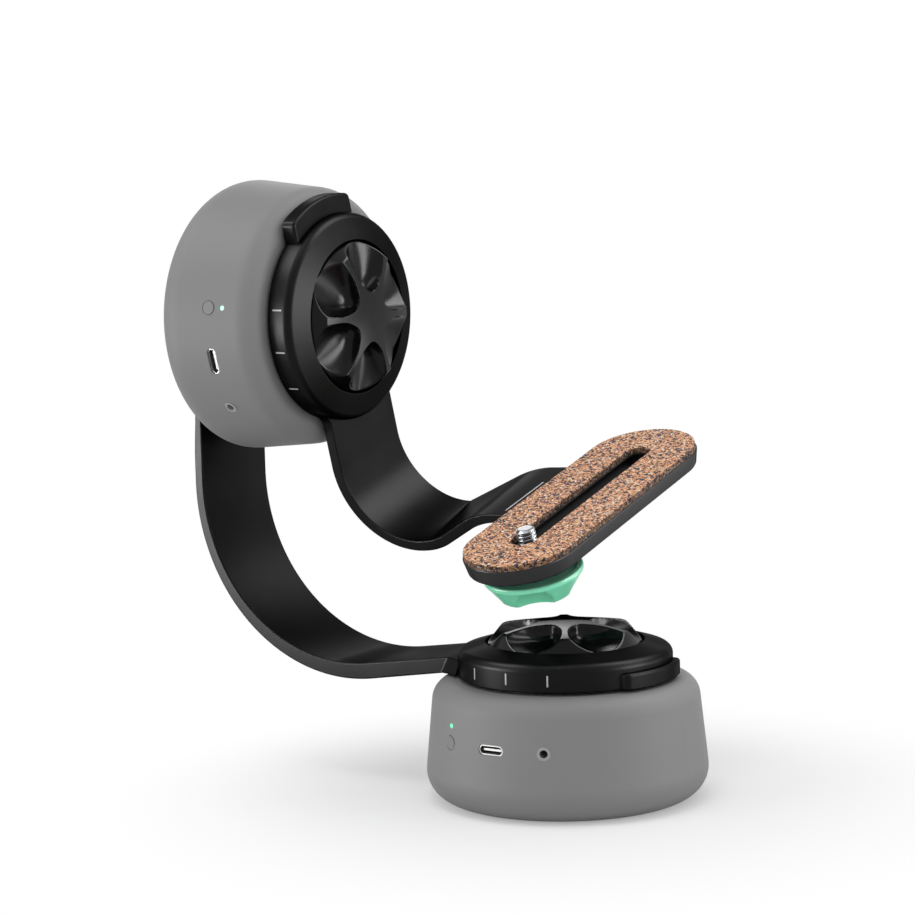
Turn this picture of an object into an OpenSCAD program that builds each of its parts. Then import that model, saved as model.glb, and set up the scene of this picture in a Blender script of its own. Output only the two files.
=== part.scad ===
// Motorised pan and tilt bracket for a camera: two round motion heads, joined by a curved arm,
// turn a second curved arm that carries a cork-topped camera plate.
// Millimetres, +Z up. The origin is on the pan axis, at the mouth of the tripod socket.

/* [Layout] */
// Height of the tilt axis above the seat of the pan hub
tilt_rise = 114.5; // [108:0.5:125]
// Distance from the pan axis to the seat of the tilt hub
tilt_reach = 91; // [84:0.5:100]
// Tilt of the camera plate at rest, in degrees
tilt_angle = 16; // [0:1:20]
// Turn of the pan knob at rest, in degrees
pan_knob_angle = 3; // [0:0.5:60]
// Turn of the tilt knob at rest, in degrees
tilt_knob_angle = 14; // [0:0.5:60]

/* [Motion head] */
// Greatest diameter of a head
head_d = 92; // [90:0.5:98]
// Height of a head from its base to the seat of the hub
head_h = 40.5; // [40:0.5:44]
// Radius of the round between base and wall
head_base_r = 10; // [8:0.5:11]
// Diameter of the wall at the shoulder
head_top_d = 87.4; // [86:0.2:89]
// Radius of the shoulder
head_shoulder_r = 6.7; // [5:0.1:7]
// Thickness of the shell
head_wall = 2.4; // [2:0.1:2.6]
// Gap between the shell and the turning hub
hub_gap = 1; // [0.6:0.1:1.4]
// Diameter of the screwed-on base plate
base_plate_d = 66; // [64:0.5:67]
// Thickness of the base plate
base_plate_t = 3; // [2.5:0.1:3.5]
// Thickness of the rubber base pad
base_pad_t = 1; // [0.6:0.1:1.2]

/* [Tripod socket] */
// Minor diameter of the 3/8 inch thread
socket_d = 8; // [7.8:0.05:8.2]
// Usable depth of the thread
socket_depth = 10; // [9:0.5:11]
// Outer diameter of the brass insert
socket_insert_d = 14; // [13:0.5:15]

/* [Drive] */
// Gear module
gear_module = 1.2; // [1.1:0.02:1.22]
// Teeth of the output gear
gear_teeth = 40; // [40:1:41]
// Teeth of the motor pinion
pinion_teeth = 10; // [10:1:10]
// Face width of the gears
gear_w = 5.6; // [5:0.1:5.8]
// Backlash on each flank
gear_backlash = 0.2; // [0.15:0.01:0.25]
// Diameter of the motor
motor_d = 19; // [17:0.5:20]
// Direction of the motor from the axis, in degrees
motor_angle = 40; // [36:1:44]
// Width of the battery
battery_w = 17; // [15:0.5:17.5]
// Length of the battery
battery_l = 33; // [30:0.5:34]
// Distance of the battery's near end from the axis
battery_end = 9.5; // [9:0.5:11]
// Outer diameter of the bearing
bearing_d = 54; // [53:0.5:55]
// Bore of the bearing
bearing_bore = 44; // [43:0.5:45]
// Width of the bearing
bearing_w = 7; // [6:0.2:7.4]
// Running clearance between turning pieces
running_gap = 0.05; // [0.02:0.01:0.1]

/* [Ports] */
// Angle between neighbouring ports, in degrees
port_pitch = 23.3; // [22:0.1:25]
// Height of the port row above the base
port_z = 23.3; // [22.5:0.1:24]
// Height of the status light above the base
light_z = 28.7; // [28.4:0.1:29]
// Diameter of the status light
light_d = 1.6; // [1.2:0.1:2]
// Diameter of the power button
button_d = 4.4; // [4:0.1:5]
// Travel of the power button
button_travel = 0.6; // [0.4:0.1:0.8]
// Width of the charging port
usb_w = 8.94; // [8.9:0.01:9]
// Height of the charging port
usb_h = 3.16; // [3.1:0.01:3.3]
// Bore of the trigger jack
jack_bore = 2.6; // [2.5:0.05:2.8]
// Outer diameter of the trigger jack
jack_d = 4.4; // [4.2:0.1:5]

/* [Hub] */
// Diameter of a hub
hub_d = 70; // [68:0.5:72]
// Height of the hub at the edge of its hole
hub_h = 11.2; // [11:0.1:12]
// Height of the straight wall below the rounded edge
hub_wall_h = 6.2; // [5.6:0.1:6.8]
// Radius of the rounded edge
hub_edge_r = 3; // [2:0.1:3.4]
// Diameter of the hole for the knob
hub_hole_d = 51.6; // [51:0.1:53]
// Thickness of the floor under the knob
hub_floor_t = 4.4; // [4:0.1:5]
// Outer diameter of the pan hub at its raised tab
pan_tab_d = 75; // [73.5:0.1:77]
// Outer diameter of the tilt hub at its raised tab
tilt_tab_d = 83; // [80:0.1:84]
// Width of the raised tabs
tab_w = 32.4; // [28:0.2:36]
// Height of the raised tabs
tab_h = 5.2; // [4.6:0.1:6]
// Thickness of the friction pad under the hub
hub_pad_t = 1; // [0.6:0.1:1.4]
// Length of the white index ticks
tick_l = 3.6; // [3:0.1:4.2]
// Width of the white index ticks
tick_w = 0.5; // [0.4:0.05:0.7]

/* [Clamp knob] */
// Diameter of the knob's foot
knob_d = 50.4; // [49.4:0.1:50.6]
// Diameter of the knob's top
knob_top_d = 42; // [40:0.1:43]
// Height of the knob's crown above the hub seat
knob_top_h = 17.5; // [17:0.1:18]
// Fall of the knob's top from its crown to its edge
knob_fall = 2.2; // [1.8:0.1:2.6]
// Radius of the finger scoops at their round inner ends
scoop_r = 6.4; // [6:0.1:6.6]
// Distance of the scoops' round ends from the axis
scoop_at = 15.6; // [15.4:0.1:16.4]
// Widening of the scoops on each side, in degrees
scoop_flare = 15; // [12:1:17]
// Number of finger scoops
scoop_count = 6; // [6:1:6]
// Diameter of the knob's threaded stud
stud_d = 8; // [7:0.5:9]

/* [Lower arm] */
// Width of both arms
arm_w = 35; // [33:0.5:37]
// Thickness of the upright end of the lower arm
arm_t = 2.6; // [2.4:0.1:3]
// Inner radius of the lower arm's bend
arm_bend_r = 58.4; // [54:0.2:62]
// How much thicker the lower arm is at the foot of its bend
arm_swell = 1.2; // [0:0.1:2]
// Depth of the bend below the hub seat, on the inside
arm_dip = 0.5; // [0:0.1:1.5]
// Thickness of the arm where it joins the hub
arm_root_t = 5; // [4.6:0.1:6]
// Thickness of the pad between arm and tilt head
mount_pad_t = 4; // [3:0.1:5]
// Diameter of the pad between arm and tilt head
mount_pad_d = 33; // [30:0.5:33]

/* [Camera arm] */
// Distance of the camera arm's outer face from the hub seat
strap_out = 1; // [0.8:0.1:1.4]
// Thickness of the camera arm at the hub
strap_root_t = 3.5; // [3.2:0.1:4]
// Thickness of the camera arm under the plate
strap_t = 3.2; // [2.8:0.1:3.4]
// Inner radius of the camera arm's bend
strap_bend_r = 25; // [24:0.2:26]
// How much thicker the camera arm is in its bend
strap_swell = 0.2; // [0:0.1:1]
// Distance of the lowest point of the camera arm below the tilt axis
strap_drop = 76.4; // [76:0.2:78]
// Slope of the camera arm's rise to the plate, in degrees
strap_slope = 31; // [26:1:34]
// Inner radius of the bend at the top of the rise
strap_end_r = 8; // [6:0.5:10]
// Length of the tongue inside the plate
tongue_l = 14; // [12:0.2:14.4]
// Width of the tongue
tongue_w = 29; // [26:0.5:32]

/* [Camera plate] */
// Length of the plate
plate_l = 115; // [108:0.5:122]
// Width of the plate
plate_w = 38; // [37:0.2:40]
// Thickness of the plate
plate_t = 5.4; // [5.2:0.1:6]
// Thickness of the cork pad
cork_t = 2; // [1.6:0.1:2.4]
// Inset of the cork from the plate's edge
cork_inset = 0.3; // [0.1:0.05:0.6]
// Distance of the cork's top below the tilt axis
plate_drop = 58.6; // [57.6:0.2:59.6]
// Distance of the plate's middle towards the user from the tilt axis
plate_back = 4.2; // [0:0.2:6]
// Length of the screw slot
slot_l = 79.6; // [72:0.2:84]
// Width of the screw slot
slot_w = 7; // [6.9:0.05:7.4]
// Width of the slot in the cork
cork_slot_w = 8.2; // [8:0.1:9]

/* [Camera screw] */
// Diameter of the 1/4 inch camera screw
screw_d = 6.35; // [6.3:0.01:6.4]
// Length of thread above the cork
screw_out = 3.6; // [3:0.1:4.5]
// Distance of the screw from the plate's middle at rest
screw_at = 34.5; // [30:0.1:36]
// Diameter of the screw's knob at its top
screw_knob_d = 32.6; // [30:0.2:33]
// Diameter of the screw's knob at its foot
screw_knob_foot_d = 25; // [24:0.2:26]
// Height of the screw's knob
screw_knob_h = 9.6; // [9.2:0.1:10.2]
// Radius of the finger hollows in the screw's knob
hollow_r = 6.6; // [6.2:0.1:7]
// Distance of the finger hollows from the screw's axis
hollow_at = 13.6; // [13.4:0.1:14.2]
// Turn of the screw's knob at rest, in degrees
screw_knob_angle = 75; // [0:1:90]

/* [Hidden] */
$fn = 96;
eps = 0.01;

// Head levels, from the base upwards
shell_top = head_h - hub_gap;
plate_top = base_pad_t + base_plate_t;
flange_t = 3.4;
bearing_top = head_h - flange_t - 0.3;
bearing_bottom = bearing_top - bearing_w;
seat_lip = 1.6;
seat_wall = 3.4;
gear_top = bearing_bottom - seat_lip - 0.3;
gear_bottom = gear_top - gear_w;
board_t = 1.6;
board_top = port_z - jack_d / 2 - 0.3;
motor_top = gear_bottom - 3;

// Head radii
base_c = [head_d / 2 - head_base_r, head_base_r];
shoulder_c = [head_top_d / 2 - head_shoulder_r, shell_top - head_shoulder_r];
gear_r = gear_module * gear_teeth / 2;
pinion_r = gear_module * pinion_teeth / 2;
gear_distance = gear_r + pinion_r;
spindle_r = 14;
flange_r = bearing_d / 2 + 1.5;
boss_at = base_plate_d / 2 - 3.2;
boss_angles = [100, 220, 340];
port_face = outer_r(port_z);
light_face = outer_r(light_z);
button_gap = 0.15;
board_r = port_face - head_wall - 2 - button_travel;
board_hole = [head_d / 2 - 22, head_d / 2 - 27];
switch_gap = 0.1;

// Hub and knob
hub_r = hub_d / 2;
hole_r = hub_hole_d / 2;
floor_top = head_h + hub_floor_t;
washer_t = 1;
stud_r = stud_d / 2;
stud_bottom = gear_bottom + 1;
hub_bore_r = stud_r + 2;
knob_bottom = floor_top + washer_t;
knob_top = head_h + knob_top_h;
hub_pad_r = flange_r - 1.5;
scoop_l = knob_d / 2;
tick_sink = 0.3;
tick_angles = [-90 - port_pitch, -90, -90 + port_pitch];

// Lower arm, as points in the plane of the pan and tilt axes
tilt_axis_z = head_h + tilt_rise;
tilt_base_x = -tilt_reach - head_h;
arm_in_x = tilt_base_x - mount_pad_t;
arm_out_x = arm_in_x - arm_t;
arm_outer_r = arm_bend_r + arm_t + arm_swell;
arm_in_c = [arm_in_x + arm_bend_r, head_h - arm_dip + arm_bend_r];
arm_out_c = [arm_out_x + arm_outer_r, arm_in_c.y];
arm_root_x = -hub_r * 0.86;
arm_foot = [-hub_r + 2, head_h + 0.3];
arm_shoulder = [arm_root_x, head_h + arm_root_t];

// Camera arm, as points (distance below the tilt axis, distance in front of the hub seat)
plate_top_d = plate_drop + cork_t;
plate_bottom_d = plate_top_d + plate_t;
strap_in = strap_out + strap_root_t;
strap_outer_r = strap_bend_r + strap_t + strap_swell;
strap_out_c = [strap_drop - strap_outer_r, strap_out + strap_outer_r];
strap_in_c = [strap_drop - strap_t + 0.5 - strap_bend_r, strap_in + strap_bend_r];
strap_low = strap_out_c + strap_outer_r * [cos(strap_slope), sin(strap_slope)];
strap_flat_d = plate_top_d + strap_t;
rise_end_d = strap_flat_d + strap_end_r * (1 - cos(strap_slope));
rise_end_u = strap_low.y + (strap_low.x - rise_end_d) / tan(strap_slope);
strap_end_c = [strap_flat_d + strap_end_r, rise_end_u + strap_end_r * sin(strap_slope)];
plate_edge_u = tilt_reach - plate_w / 2;
pocket_gap = 0.1;
tongue_screws = [-9, 9];
line_l = 24;
line_u = plate_edge_u - 4;
line_t = 0.3;
tongue_screw_u = plate_edge_u + tongue_l / 2;

// Camera screw
bush_r = slot_w / 2 - running_gap;
bush_flange_t = 2.2;
bush_bore_r = screw_d / 2 + running_gap;
screw_knob_top_d = plate_bottom_d + bush_flange_t + 0.4;

// Radius of a head's outer surface at a height on its sloping wall
function wall_lean() = let (d = shoulder_c - base_c)
    atan2(d.y, d.x) - acos((head_base_r - head_shoulder_r) / norm(d));
function polar(r, a) = r * [cos(a), sin(a)];
function outer_r(z) = let (lean = wall_lean())
    let (a = base_c + polar(head_base_r, lean), b = shoulder_c + polar(head_shoulder_r, lean))
    a.x + (b.x - a.x) * (z - a.y) / (b.y - a.y);

// Angle on a circle where the line from p touches its lower right
function touch(p, c, r) = let (d = p - c) atan2(d.y, d.x) - acos(r / norm(d));

// Points along an arc, about two degrees apart
function arc(c, r, from, to) = let (n = ceil(abs(to - from) / 2))
    [for (i = [0:n]) c + polar(r, from + (to - from) * i / n)];

// Involute flank: angle gained between the base circle and radius r, in degrees
function involute(rb, r) = let (t = sqrt(max(0, pow(r / rb, 2) - 1))) t * 180 / PI - atan(t);

// Places a child made for an upright head on the tilt head, or turns it to the tilt at rest
module at_tilt() {
    translate([tilt_base_x, 0, tilt_axis_z]) rotate([tilt_angle, 0, 0]) rotate([0, 90, 0]) children();
}

// Places a child drawn with +Z as the plate's normal, at the plate's middle, on the cork's top
module at_plate() {
    translate([0, 0, tilt_axis_z]) rotate([tilt_angle, 0, 0])
        translate([0, -plate_back, -plate_drop]) children();
}

// Turns +X to a port's direction, at a height on the head
module at_port(k, z) {
    rotate([0, 0, -90 + k * port_pitch]) translate([0, 0, z]) children();
}

// Half section of a head, set in from its outer surface
module head_section(inset) {
    lean = wall_lean();
    polygon([[0, inset], [base_c.x, inset], base_c + polar(head_base_r - inset, lean),
        shoulder_c + polar(head_shoulder_r - inset, lean),
        [shoulder_c.x, shell_top - inset], [0, shell_top - inset]]);
    intersection() {
        translate(base_c) circle(head_base_r - inset);
        translate([base_c.x, 0]) square([head_d, head_h]);
    }
    intersection() {
        translate(shoulder_c) circle(head_shoulder_r - inset);
        translate([shoulder_c.x, 0]) square([head_d, head_h]);
    }
}

// Flat slot section, w long and h high, with round ends, drawn along +X
module stadium_bar(w, h, l) {
    cube_w = w - h;
    translate([0, -cube_w / 2, -h / 2]) cube([l, cube_w, h]);
    for (s = [-1, 1]) translate([0, s * cube_w / 2, 0]) rotate([0, 90, 0]) cylinder(d = h, h = l);
}

// Flat stadium outline along Y
module stadium(l, w) {
    square([w, l - w], center = true);
    for (s = [-1, 1]) translate([0, s * (l - w) / 2]) circle(d = w);
}

// Ring of teeth with involute flanks, a tooth on +X
module gear_section(teeth, tip, root) {
    r = gear_module * teeth / 2;
    rb = r * cos(20);
    half = 90 / teeth - gear_backlash / r * 180 / PI / 2 + involute(rb, r);
    radii = [root, max(rb, root + 0.1), r, tip];
    polygon([for (i = [0:teeth - 1]) each concat(
        [for (k = [0:3]) polar(radii[k], i * 360 / teeth - half + involute(rb, radii[k]))],
        [for (k = [3:-1:0]) polar(radii[k], i * 360 / teeth + half - involute(rb, radii[k]))])]);
}

module head_housing() {
    difference() {
        union() {
            rotate_extrude() difference() {
                head_section(0);
                head_section(head_wall);
            }
            translate([0, 0, bearing_bottom - seat_lip])
                cylinder(r = bearing_d / 2 + seat_wall,
                    h = shell_top - head_wall / 2 - bearing_bottom + seat_lip);
            intersection() {
                for (a = boss_angles) rotate([0, 0, a]) {
                    translate([boss_at, 0, plate_top]) cylinder(d = 6.4, h = 10);
                    translate([boss_at, -1.2, plate_top]) cube([head_d / 2, 2.4, 10]);
                }
                rotate_extrude() head_section(head_wall / 2);
            }
        }
        translate([0, 0, -eps]) cylinder(d = base_plate_d, h = plate_top + eps);
        translate([0, 0, bearing_bottom]) cylinder(d = bearing_d, h = head_h);
        translate([0, 0, bearing_top]) cylinder(r = flange_r + 0.7, h = head_h);
        translate([0, 0, bearing_bottom - seat_lip - eps]) cylinder(d = bearing_d - 4, h = bearing_w);
        for (a = boss_angles) rotate([0, 0, a])
            translate([boss_at, 0, plate_top - eps]) cylinder(d = 2.5, h = 8);
        at_port(0, port_z) translate([port_face - 8, 0, 0]) stadium_bar(usb_w + 0.2, usb_h + 0.2, 16);
        at_port(-1, port_z) translate([port_face - 8, 0, 0]) rotate([0, 90, 0])
            cylinder(d = button_d + 2 * button_gap, h = 16);
        at_port(-1, light_z) translate([port_face - 8, 0, 0]) rotate([0, 90, 0])
            cylinder(d = light_d, h = 16);
        at_port(1, port_z) translate([port_face - 8, 0, 0]) rotate([0, 90, 0]) cylinder(d = jack_d, h = 16);
    }
}

module head_base_plate() {
    difference() {
        union() {
            translate([0, 0, base_pad_t]) cylinder(d = base_plate_d, h = base_plate_t);
            for (p = [[-14, -27], [14, -27], [0, -18]])
                translate([p.x, p.y, plate_top - eps])
                    cylinder(d = 4, h = board_top - board_t - plate_top + eps);
        }
        translate([0, 0, -eps]) cylinder(d = socket_insert_d, h = plate_top + 1);
        for (a = boss_angles) rotate([0, 0, a]) translate([boss_at, 0, 0]) {
            cylinder(d = 2.7, h = plate_top + 1);
            cylinder(d = 5, h = base_pad_t + 1.6);
        }
    }
}

module head_base_pad() {
    difference() {
        cylinder(d = base_plate_d - 0.6, h = base_pad_t);
        translate([0, 0, -eps]) cylinder(d = socket_insert_d + 0.6, h = base_pad_t + 1);
    }
}

module head_tripod_insert() {
    difference() {
        union() {
            cylinder(d = socket_insert_d, h = socket_depth + 2);
            translate([0, 0, plate_top]) cylinder(d = socket_insert_d + 6, h = 1.6);
        }
        translate([0, 0, -eps]) cylinder(d = socket_d, h = socket_depth + eps);
    }
}

module head_base_screws() {
    for (a = boss_angles) rotate([0, 0, a]) translate([boss_at, 0, base_pad_t]) {
        difference() {
            cylinder(d = 4.8, h = 1.5);
            translate([0, 0, -eps]) cylinder(d = 2, h = 1, $fn = 6);
        }
        cylinder(d = 2.4, h = base_plate_t + 7);
    }
}

module head_motor() {
    rotate([0, 0, motor_angle]) translate([gear_distance, 0, plate_top]) {
        difference() {
            rotate_extrude() polygon([[0, 0], [motor_d / 2 - 0.8, 0], [motor_d / 2, 0.8],
                [motor_d / 2, motor_top - plate_top - 0.8], [motor_d / 2 - 0.8, motor_top - plate_top],
                [0, motor_top - plate_top]]);
            for (s = [-1, 1]) translate([0, s * (motor_d / 2 - 2.5), motor_top - plate_top - 3])
                cylinder(d = 1.6, h = 4);
        }
        cylinder(d = 6, h = motor_top - plate_top + 1);
        cylinder(d = 2, h = gear_top - plate_top);
    }
}

module head_pinion() {
    rotate([0, 0, motor_angle]) translate([gear_distance, 0, gear_bottom]) rotate([0, 0, 180]) difference() {
        linear_extrude(gear_w)
            gear_section(pinion_teeth, pinion_r + 0.85 * gear_module, pinion_r - 1.2 * gear_module);
        translate([0, 0, -eps]) cylinder(d = 2 + 2 * running_gap, h = gear_w + 1);
    }
}

module head_output_gear() {
    rotate([0, 0, motor_angle + 180 / gear_teeth]) translate([0, 0, gear_bottom]) difference() {
        linear_extrude(gear_w)
            gear_section(gear_teeth, gear_r + 0.8 * gear_module, gear_r - 1.2 * gear_module);
        translate([0, 0, -eps]) cylinder(r = spindle_r, h = gear_w + 1);
        for (a = [0:60:300]) rotate([0, 0, a]) translate([(spindle_r + gear_r) / 2, 0, -eps])
            cylinder(d = 5, h = gear_w + 1);
    }
}

module head_bearing() {
    ring = (bearing_d - bearing_bore) / 4 - 0.9;
    mid_r = (bearing_d + bearing_bore) / 4;
    translate([0, 0, bearing_bottom]) rotate_extrude() difference() {
        translate([bearing_bore / 2 + running_gap, 0])
            square([bearing_d / 2 - bearing_bore / 2 - running_gap, bearing_w]);
        for (z = [0, bearing_w]) translate([mid_r, z])
            square([2 * (mid_r - bearing_bore / 2 - ring), 1.2], center = true);
    }
}

module head_battery() {
    h = board_top - board_t - plate_top;
    translate([-base_plate_d / 2, -battery_end, plate_top]) difference() {
        cube([battery_w, battery_l, h]);
        translate([-eps, battery_l - 2, h / 5]) cube([battery_w + 1, 3, 1]);
    }
}

module head_circuit_board() {
    difference() {
        translate([0, 0, board_top - board_t]) intersection() {
            cylinder(r = board_r, h = board_t);
            translate([-head_d / 2, -head_d / 2, 0]) cube([head_d, head_d / 2 - 13, board_t]);
        }
        for (s = [-1, 1]) translate([s * board_hole.x, -board_hole.y, 0]) cylinder(d = 2.6, h = head_h);
    }
    at_port(-1, board_top) {
        translate([port_face - 11, -2.5, -eps]) cube([3.6, 5, port_z - board_top + 2]);
        translate([port_face - 8 + 0.5, 0, port_z - board_top]) rotate([0, 90, 0]) cylinder(d = 2, h = 0.7);
    }
    for (x = [-9, 2]) translate([x, -24, board_top - eps]) cube([6, 5, 1]);
}

module head_usb_port() {
    at_port(0, port_z) {
        difference() {
            translate([port_face - 8.5, 0, 0]) stadium_bar(usb_w, usb_h, 8);
            translate([port_face - 7.5, 0, 0]) stadium_bar(usb_w - 0.7, usb_h - 0.7, 8);
        }
        translate([port_face - 8, -3.3, -0.35]) cube([6.6, 6.6, 0.7]);
        translate([port_face - 8.5, -3, board_top - port_z])
            cube([4, 6, port_z - board_top - usb_h / 2 + 0.3]);
    }
}

module head_power_button() {
    at_port(-1, port_z) rotate([0, 90, 0]) {
        translate([0, 0, port_face - head_wall - 0.9]) cylinder(d = button_d, h = head_wall + 1);
        translate([0, 0, port_face - head_wall - 1.3]) cylinder(d = button_d + 2, h = 0.8);
        translate([0, 0, port_face - 6.8 + button_travel + switch_gap])
            cylinder(d = 1.8, h = 6 - head_wall - button_travel - switch_gap);
    }
}

module head_status_light() {
    leg = 12.5;
    at_port(-1, light_z) {
        translate([light_face - leg, 0, 0]) rotate([0, 90, 0]) cylinder(d = light_d, h = leg);
        translate([light_face - leg, 0, board_top - light_z])
            cylinder(d = light_d, h = light_z - board_top + light_d / 2);
    }
}

module head_trigger_jack() {
    at_port(1, port_z) difference() {
        union() {
            translate([port_face - 6, 0, 0]) rotate([0, 90, 0]) cylinder(d = jack_d, h = 6.1);
            translate([port_face - 13, -3, board_top - port_z])
                cube([8, 6, port_z - board_top + jack_d / 2 + 0.4]);
        }
        translate([port_face - 10, 0, 0]) rotate([0, 90, 0]) cylinder(d = jack_bore, h = 16);
    }
}

module head_turntable() {
    difference() {
        union() {
            translate([0, 0, head_h - flange_t]) cylinder(r = flange_r, h = flange_t);
            translate([0, 0, gear_top]) cylinder(d = bearing_bore, h = head_h - gear_top - flange_t + eps);
            translate([0, 0, gear_bottom]) cylinder(r = spindle_r, h = gear_w + 1);
        }
        translate([0, 0, gear_bottom - eps]) cylinder(r = stud_r + running_gap, h = head_h);
        for (a = [30:60:330]) rotate([0, 0, a])
            translate([(stud_r + bearing_bore / 2) / 2 + 3, 0, head_h - 1.5]) cylinder(d = 4, h = 2);
    }
}

// Round hub with a conical face, a hole for the knob and a raised tab at the angle tab_at
module hub_solid(tab_at, tab_r) {
    translate([0, 0, head_h]) difference() {
        union() {
            rotate_extrude() {
                polygon([[0, 0], [hub_r, 0], [hub_r, hub_wall_h],
                    [hub_r - hub_edge_r, hub_wall_h + hub_edge_r], [hole_r, hub_h], [0, hub_h]]);
                translate([hub_r - hub_edge_r, hub_wall_h]) intersection() {
                    circle(hub_edge_r);
                    square(hub_edge_r);
                }
            }
            rotate([0, 0, tab_at]) intersection() {
                cylinder(r = tab_r, h = tab_h);
                translate([hub_r - 6, -tab_w / 2, 0]) cube([tab_r, tab_w, tab_h]);
            }
        }
        translate([0, 0, hub_floor_t]) cylinder(r = hole_r, h = hub_h);
        translate([0, 0, -eps]) cylinder(r = hub_pad_r + 0.2, h = hub_pad_t + eps);
        translate([0, 0, -eps]) cylinder(r = hub_bore_r, h = hub_h);
        for (a = tick_angles) rotate([0, 0, a]) tick_block();
    }
}

// One index tick, sunk into the hub's wall
module tick_block() {
    translate([hub_r - tick_sink, -tick_w / 2, hub_wall_h / 2 - tick_l / 2 + 0.8])
        cube([tick_sink + eps, tick_w, tick_l]);
}

module index_ticks() {
    color("white") translate([0, 0, head_h]) for (a = tick_angles) rotate([0, 0, a]) tick_block();
}

module tilt_marks() {
    index_ticks();
    arm_line();
}

// White line across the flat of the camera arm, drawn in the tilt head's own directions
module arm_line() {
    color("white") translate([plate_top_d, -plate_back - line_l / 2, head_h + line_u])
        cube([line_t, line_l, tick_w]);
}

module hub_pad() {
    color("dimgray") translate([0, 0, head_h]) difference() {
        cylinder(r = hub_pad_r, h = hub_pad_t);
        translate([0, 0, -eps]) cylinder(r = hub_bore_r, h = hub_pad_t + 1);
    }
}

// Clamp knob with a crowned top and round-ended finger scoops that widen towards the rim
module clamp_knob(turn) {
    h = knob_top - knob_bottom;
    foot_h = head_h + hub_h - knob_bottom;
    edge_r = knob_top_d / 2;
    flare = tan(scoop_flare);
    crown_r = (edge_r * edge_r + knob_fall * knob_fall) / (2 * knob_fall);
    color([0.1, 0.1, 0.1]) rotate([0, 0, turn]) difference() {
        translate([0, 0, knob_bottom]) rotate_extrude() intersection() {
            polygon([[0, 0], [knob_d / 2, 0], [knob_d / 2, foot_h],
                [edge_r, h - knob_fall], [edge_r, h], [0, h]]);
            translate([0, h - crown_r]) circle(crown_r, $fn = 720);
        }
        for (i = [0:scoop_count - 1]) rotate([0, 0, (i + 0.5) * 360 / scoop_count])
            translate([scoop_at, 0, head_h + hub_h + scoop_r]) {
                sphere(scoop_r);
                rotate([0, 90 - scoop_flare, 0]) translate([0, 0, -1])
                    cylinder(r1 = scoop_r - flare, r2 = scoop_r + scoop_l * flare, h = scoop_l + 1);
            }
        translate([0, 0, knob_bottom - eps]) cylinder(r = stud_r, h = 7);
        translate([0, 0, knob_bottom - eps]) cylinder(r = stud_r + 2, h = 3, $fn = 6);
    }
}

module knob_stud(turn) {
    color("silver") rotate([0, 0, turn]) {
        translate([0, 0, stud_bottom]) cylinder(r = stud_r, h = knob_bottom + 6.9 - stud_bottom);
        translate([0, 0, knob_bottom]) cylinder(r = stud_r + 2, h = 2.9, $fn = 6);
    }
}

module knob_washer() {
    color("gainsboro") translate([0, 0, floor_top]) difference() {
        cylinder(r = hole_r * 0.62, h = washer_t);
        translate([0, 0, -eps]) cylinder(r = stud_r + 0.3, h = washer_t + 1);
    }
}

// Side view of the lower arm's bend and of its run to the pan hub
module lower_arm_section() {
    outer = arc(arm_out_c, arm_outer_r, -180, touch(arm_foot, arm_out_c, arm_outer_r));
    inner = arc(arm_in_c, arm_bend_r, touch(arm_shoulder, arm_in_c, arm_bend_r), -180);
    polygon(concat(outer, [arm_foot, [arm_root_x, arm_foot.y], arm_shoulder], inner));
}

module lower_arm() {
    color([0.12, 0.12, 0.12]) difference() {
        union() {
            hub_solid(0, pan_tab_d / 2);
            rotate([90, 0, 0]) linear_extrude(arm_w, center = true) lower_arm_section();
            translate([arm_out_x, 0, 0]) rotate([90, 0, 90]) linear_extrude(arm_t) {
                translate([-arm_w / 2, arm_in_c.y]) square([arm_w, tilt_axis_z - arm_in_c.y]);
                translate([0, tilt_axis_z]) circle(d = arm_w);
            }
        }
        translate([arm_out_x - 1, 0, tilt_axis_z]) rotate([0, 90, 0])
            cylinder(d = socket_d + 0.6, h = arm_t + 2);
    }
}

module tilt_mount_pad() {
    color("dimgray") translate([arm_in_x, 0, tilt_axis_z]) rotate([0, 90, 0]) difference() {
        cylinder(d = mount_pad_d, h = mount_pad_t);
        translate([0, 0, -eps]) cylinder(d = socket_insert_d, h = mount_pad_t + 1);
    }
}

module tilt_mount_washer() {
    color("gainsboro") translate([arm_out_x - washer_t, 0, tilt_axis_z]) rotate([0, 90, 0]) difference() {
        cylinder(d = 2 * socket_d + 6, h = washer_t);
        translate([0, 0, -eps]) cylinder(d = socket_d + 0.6, h = washer_t + 1);
    }
}

module tilt_mount_screw() {
    head_t = 5;
    color("silver") translate([arm_out_x - washer_t, 0, tilt_axis_z]) rotate([0, 90, 0]) {
        difference() {
            translate([0, 0, -head_t]) rotate_extrude()
                polygon([[0, 0], [socket_d - 1, 0], [socket_d, 1], [socket_d, head_t], [0, head_t]]);
            translate([0, 0, -head_t - eps]) cylinder(d = 6.9, h = 3, $fn = 6);
        }
        cylinder(d = socket_d - 2 * running_gap, h = washer_t + arm_t + mount_pad_t + socket_depth - 1);
    }
}

// Side view of the camera arm: x runs down from the tilt axis, y forwards from the hub seat
module camera_arm_section() {
    end = plate_edge_u + eps;
    outer = arc(strap_out_c, strap_outer_r, -90, strap_slope);
    inner = arc(strap_in_c, strap_bend_r, strap_slope, -90);
    rise_low = arc(strap_end_c, strap_end_r, 180 + strap_slope, 180);
    rise_high = arc(strap_end_c, strap_end_r + strap_t, 180, 180 + strap_slope);
    polygon(concat([[hub_r - 6, strap_out]], outer, rise_low, [[strap_flat_d, end], [plate_top_d, end]],
        rise_high, inner, [[hub_r - 6, strap_in]]));
}

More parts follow.
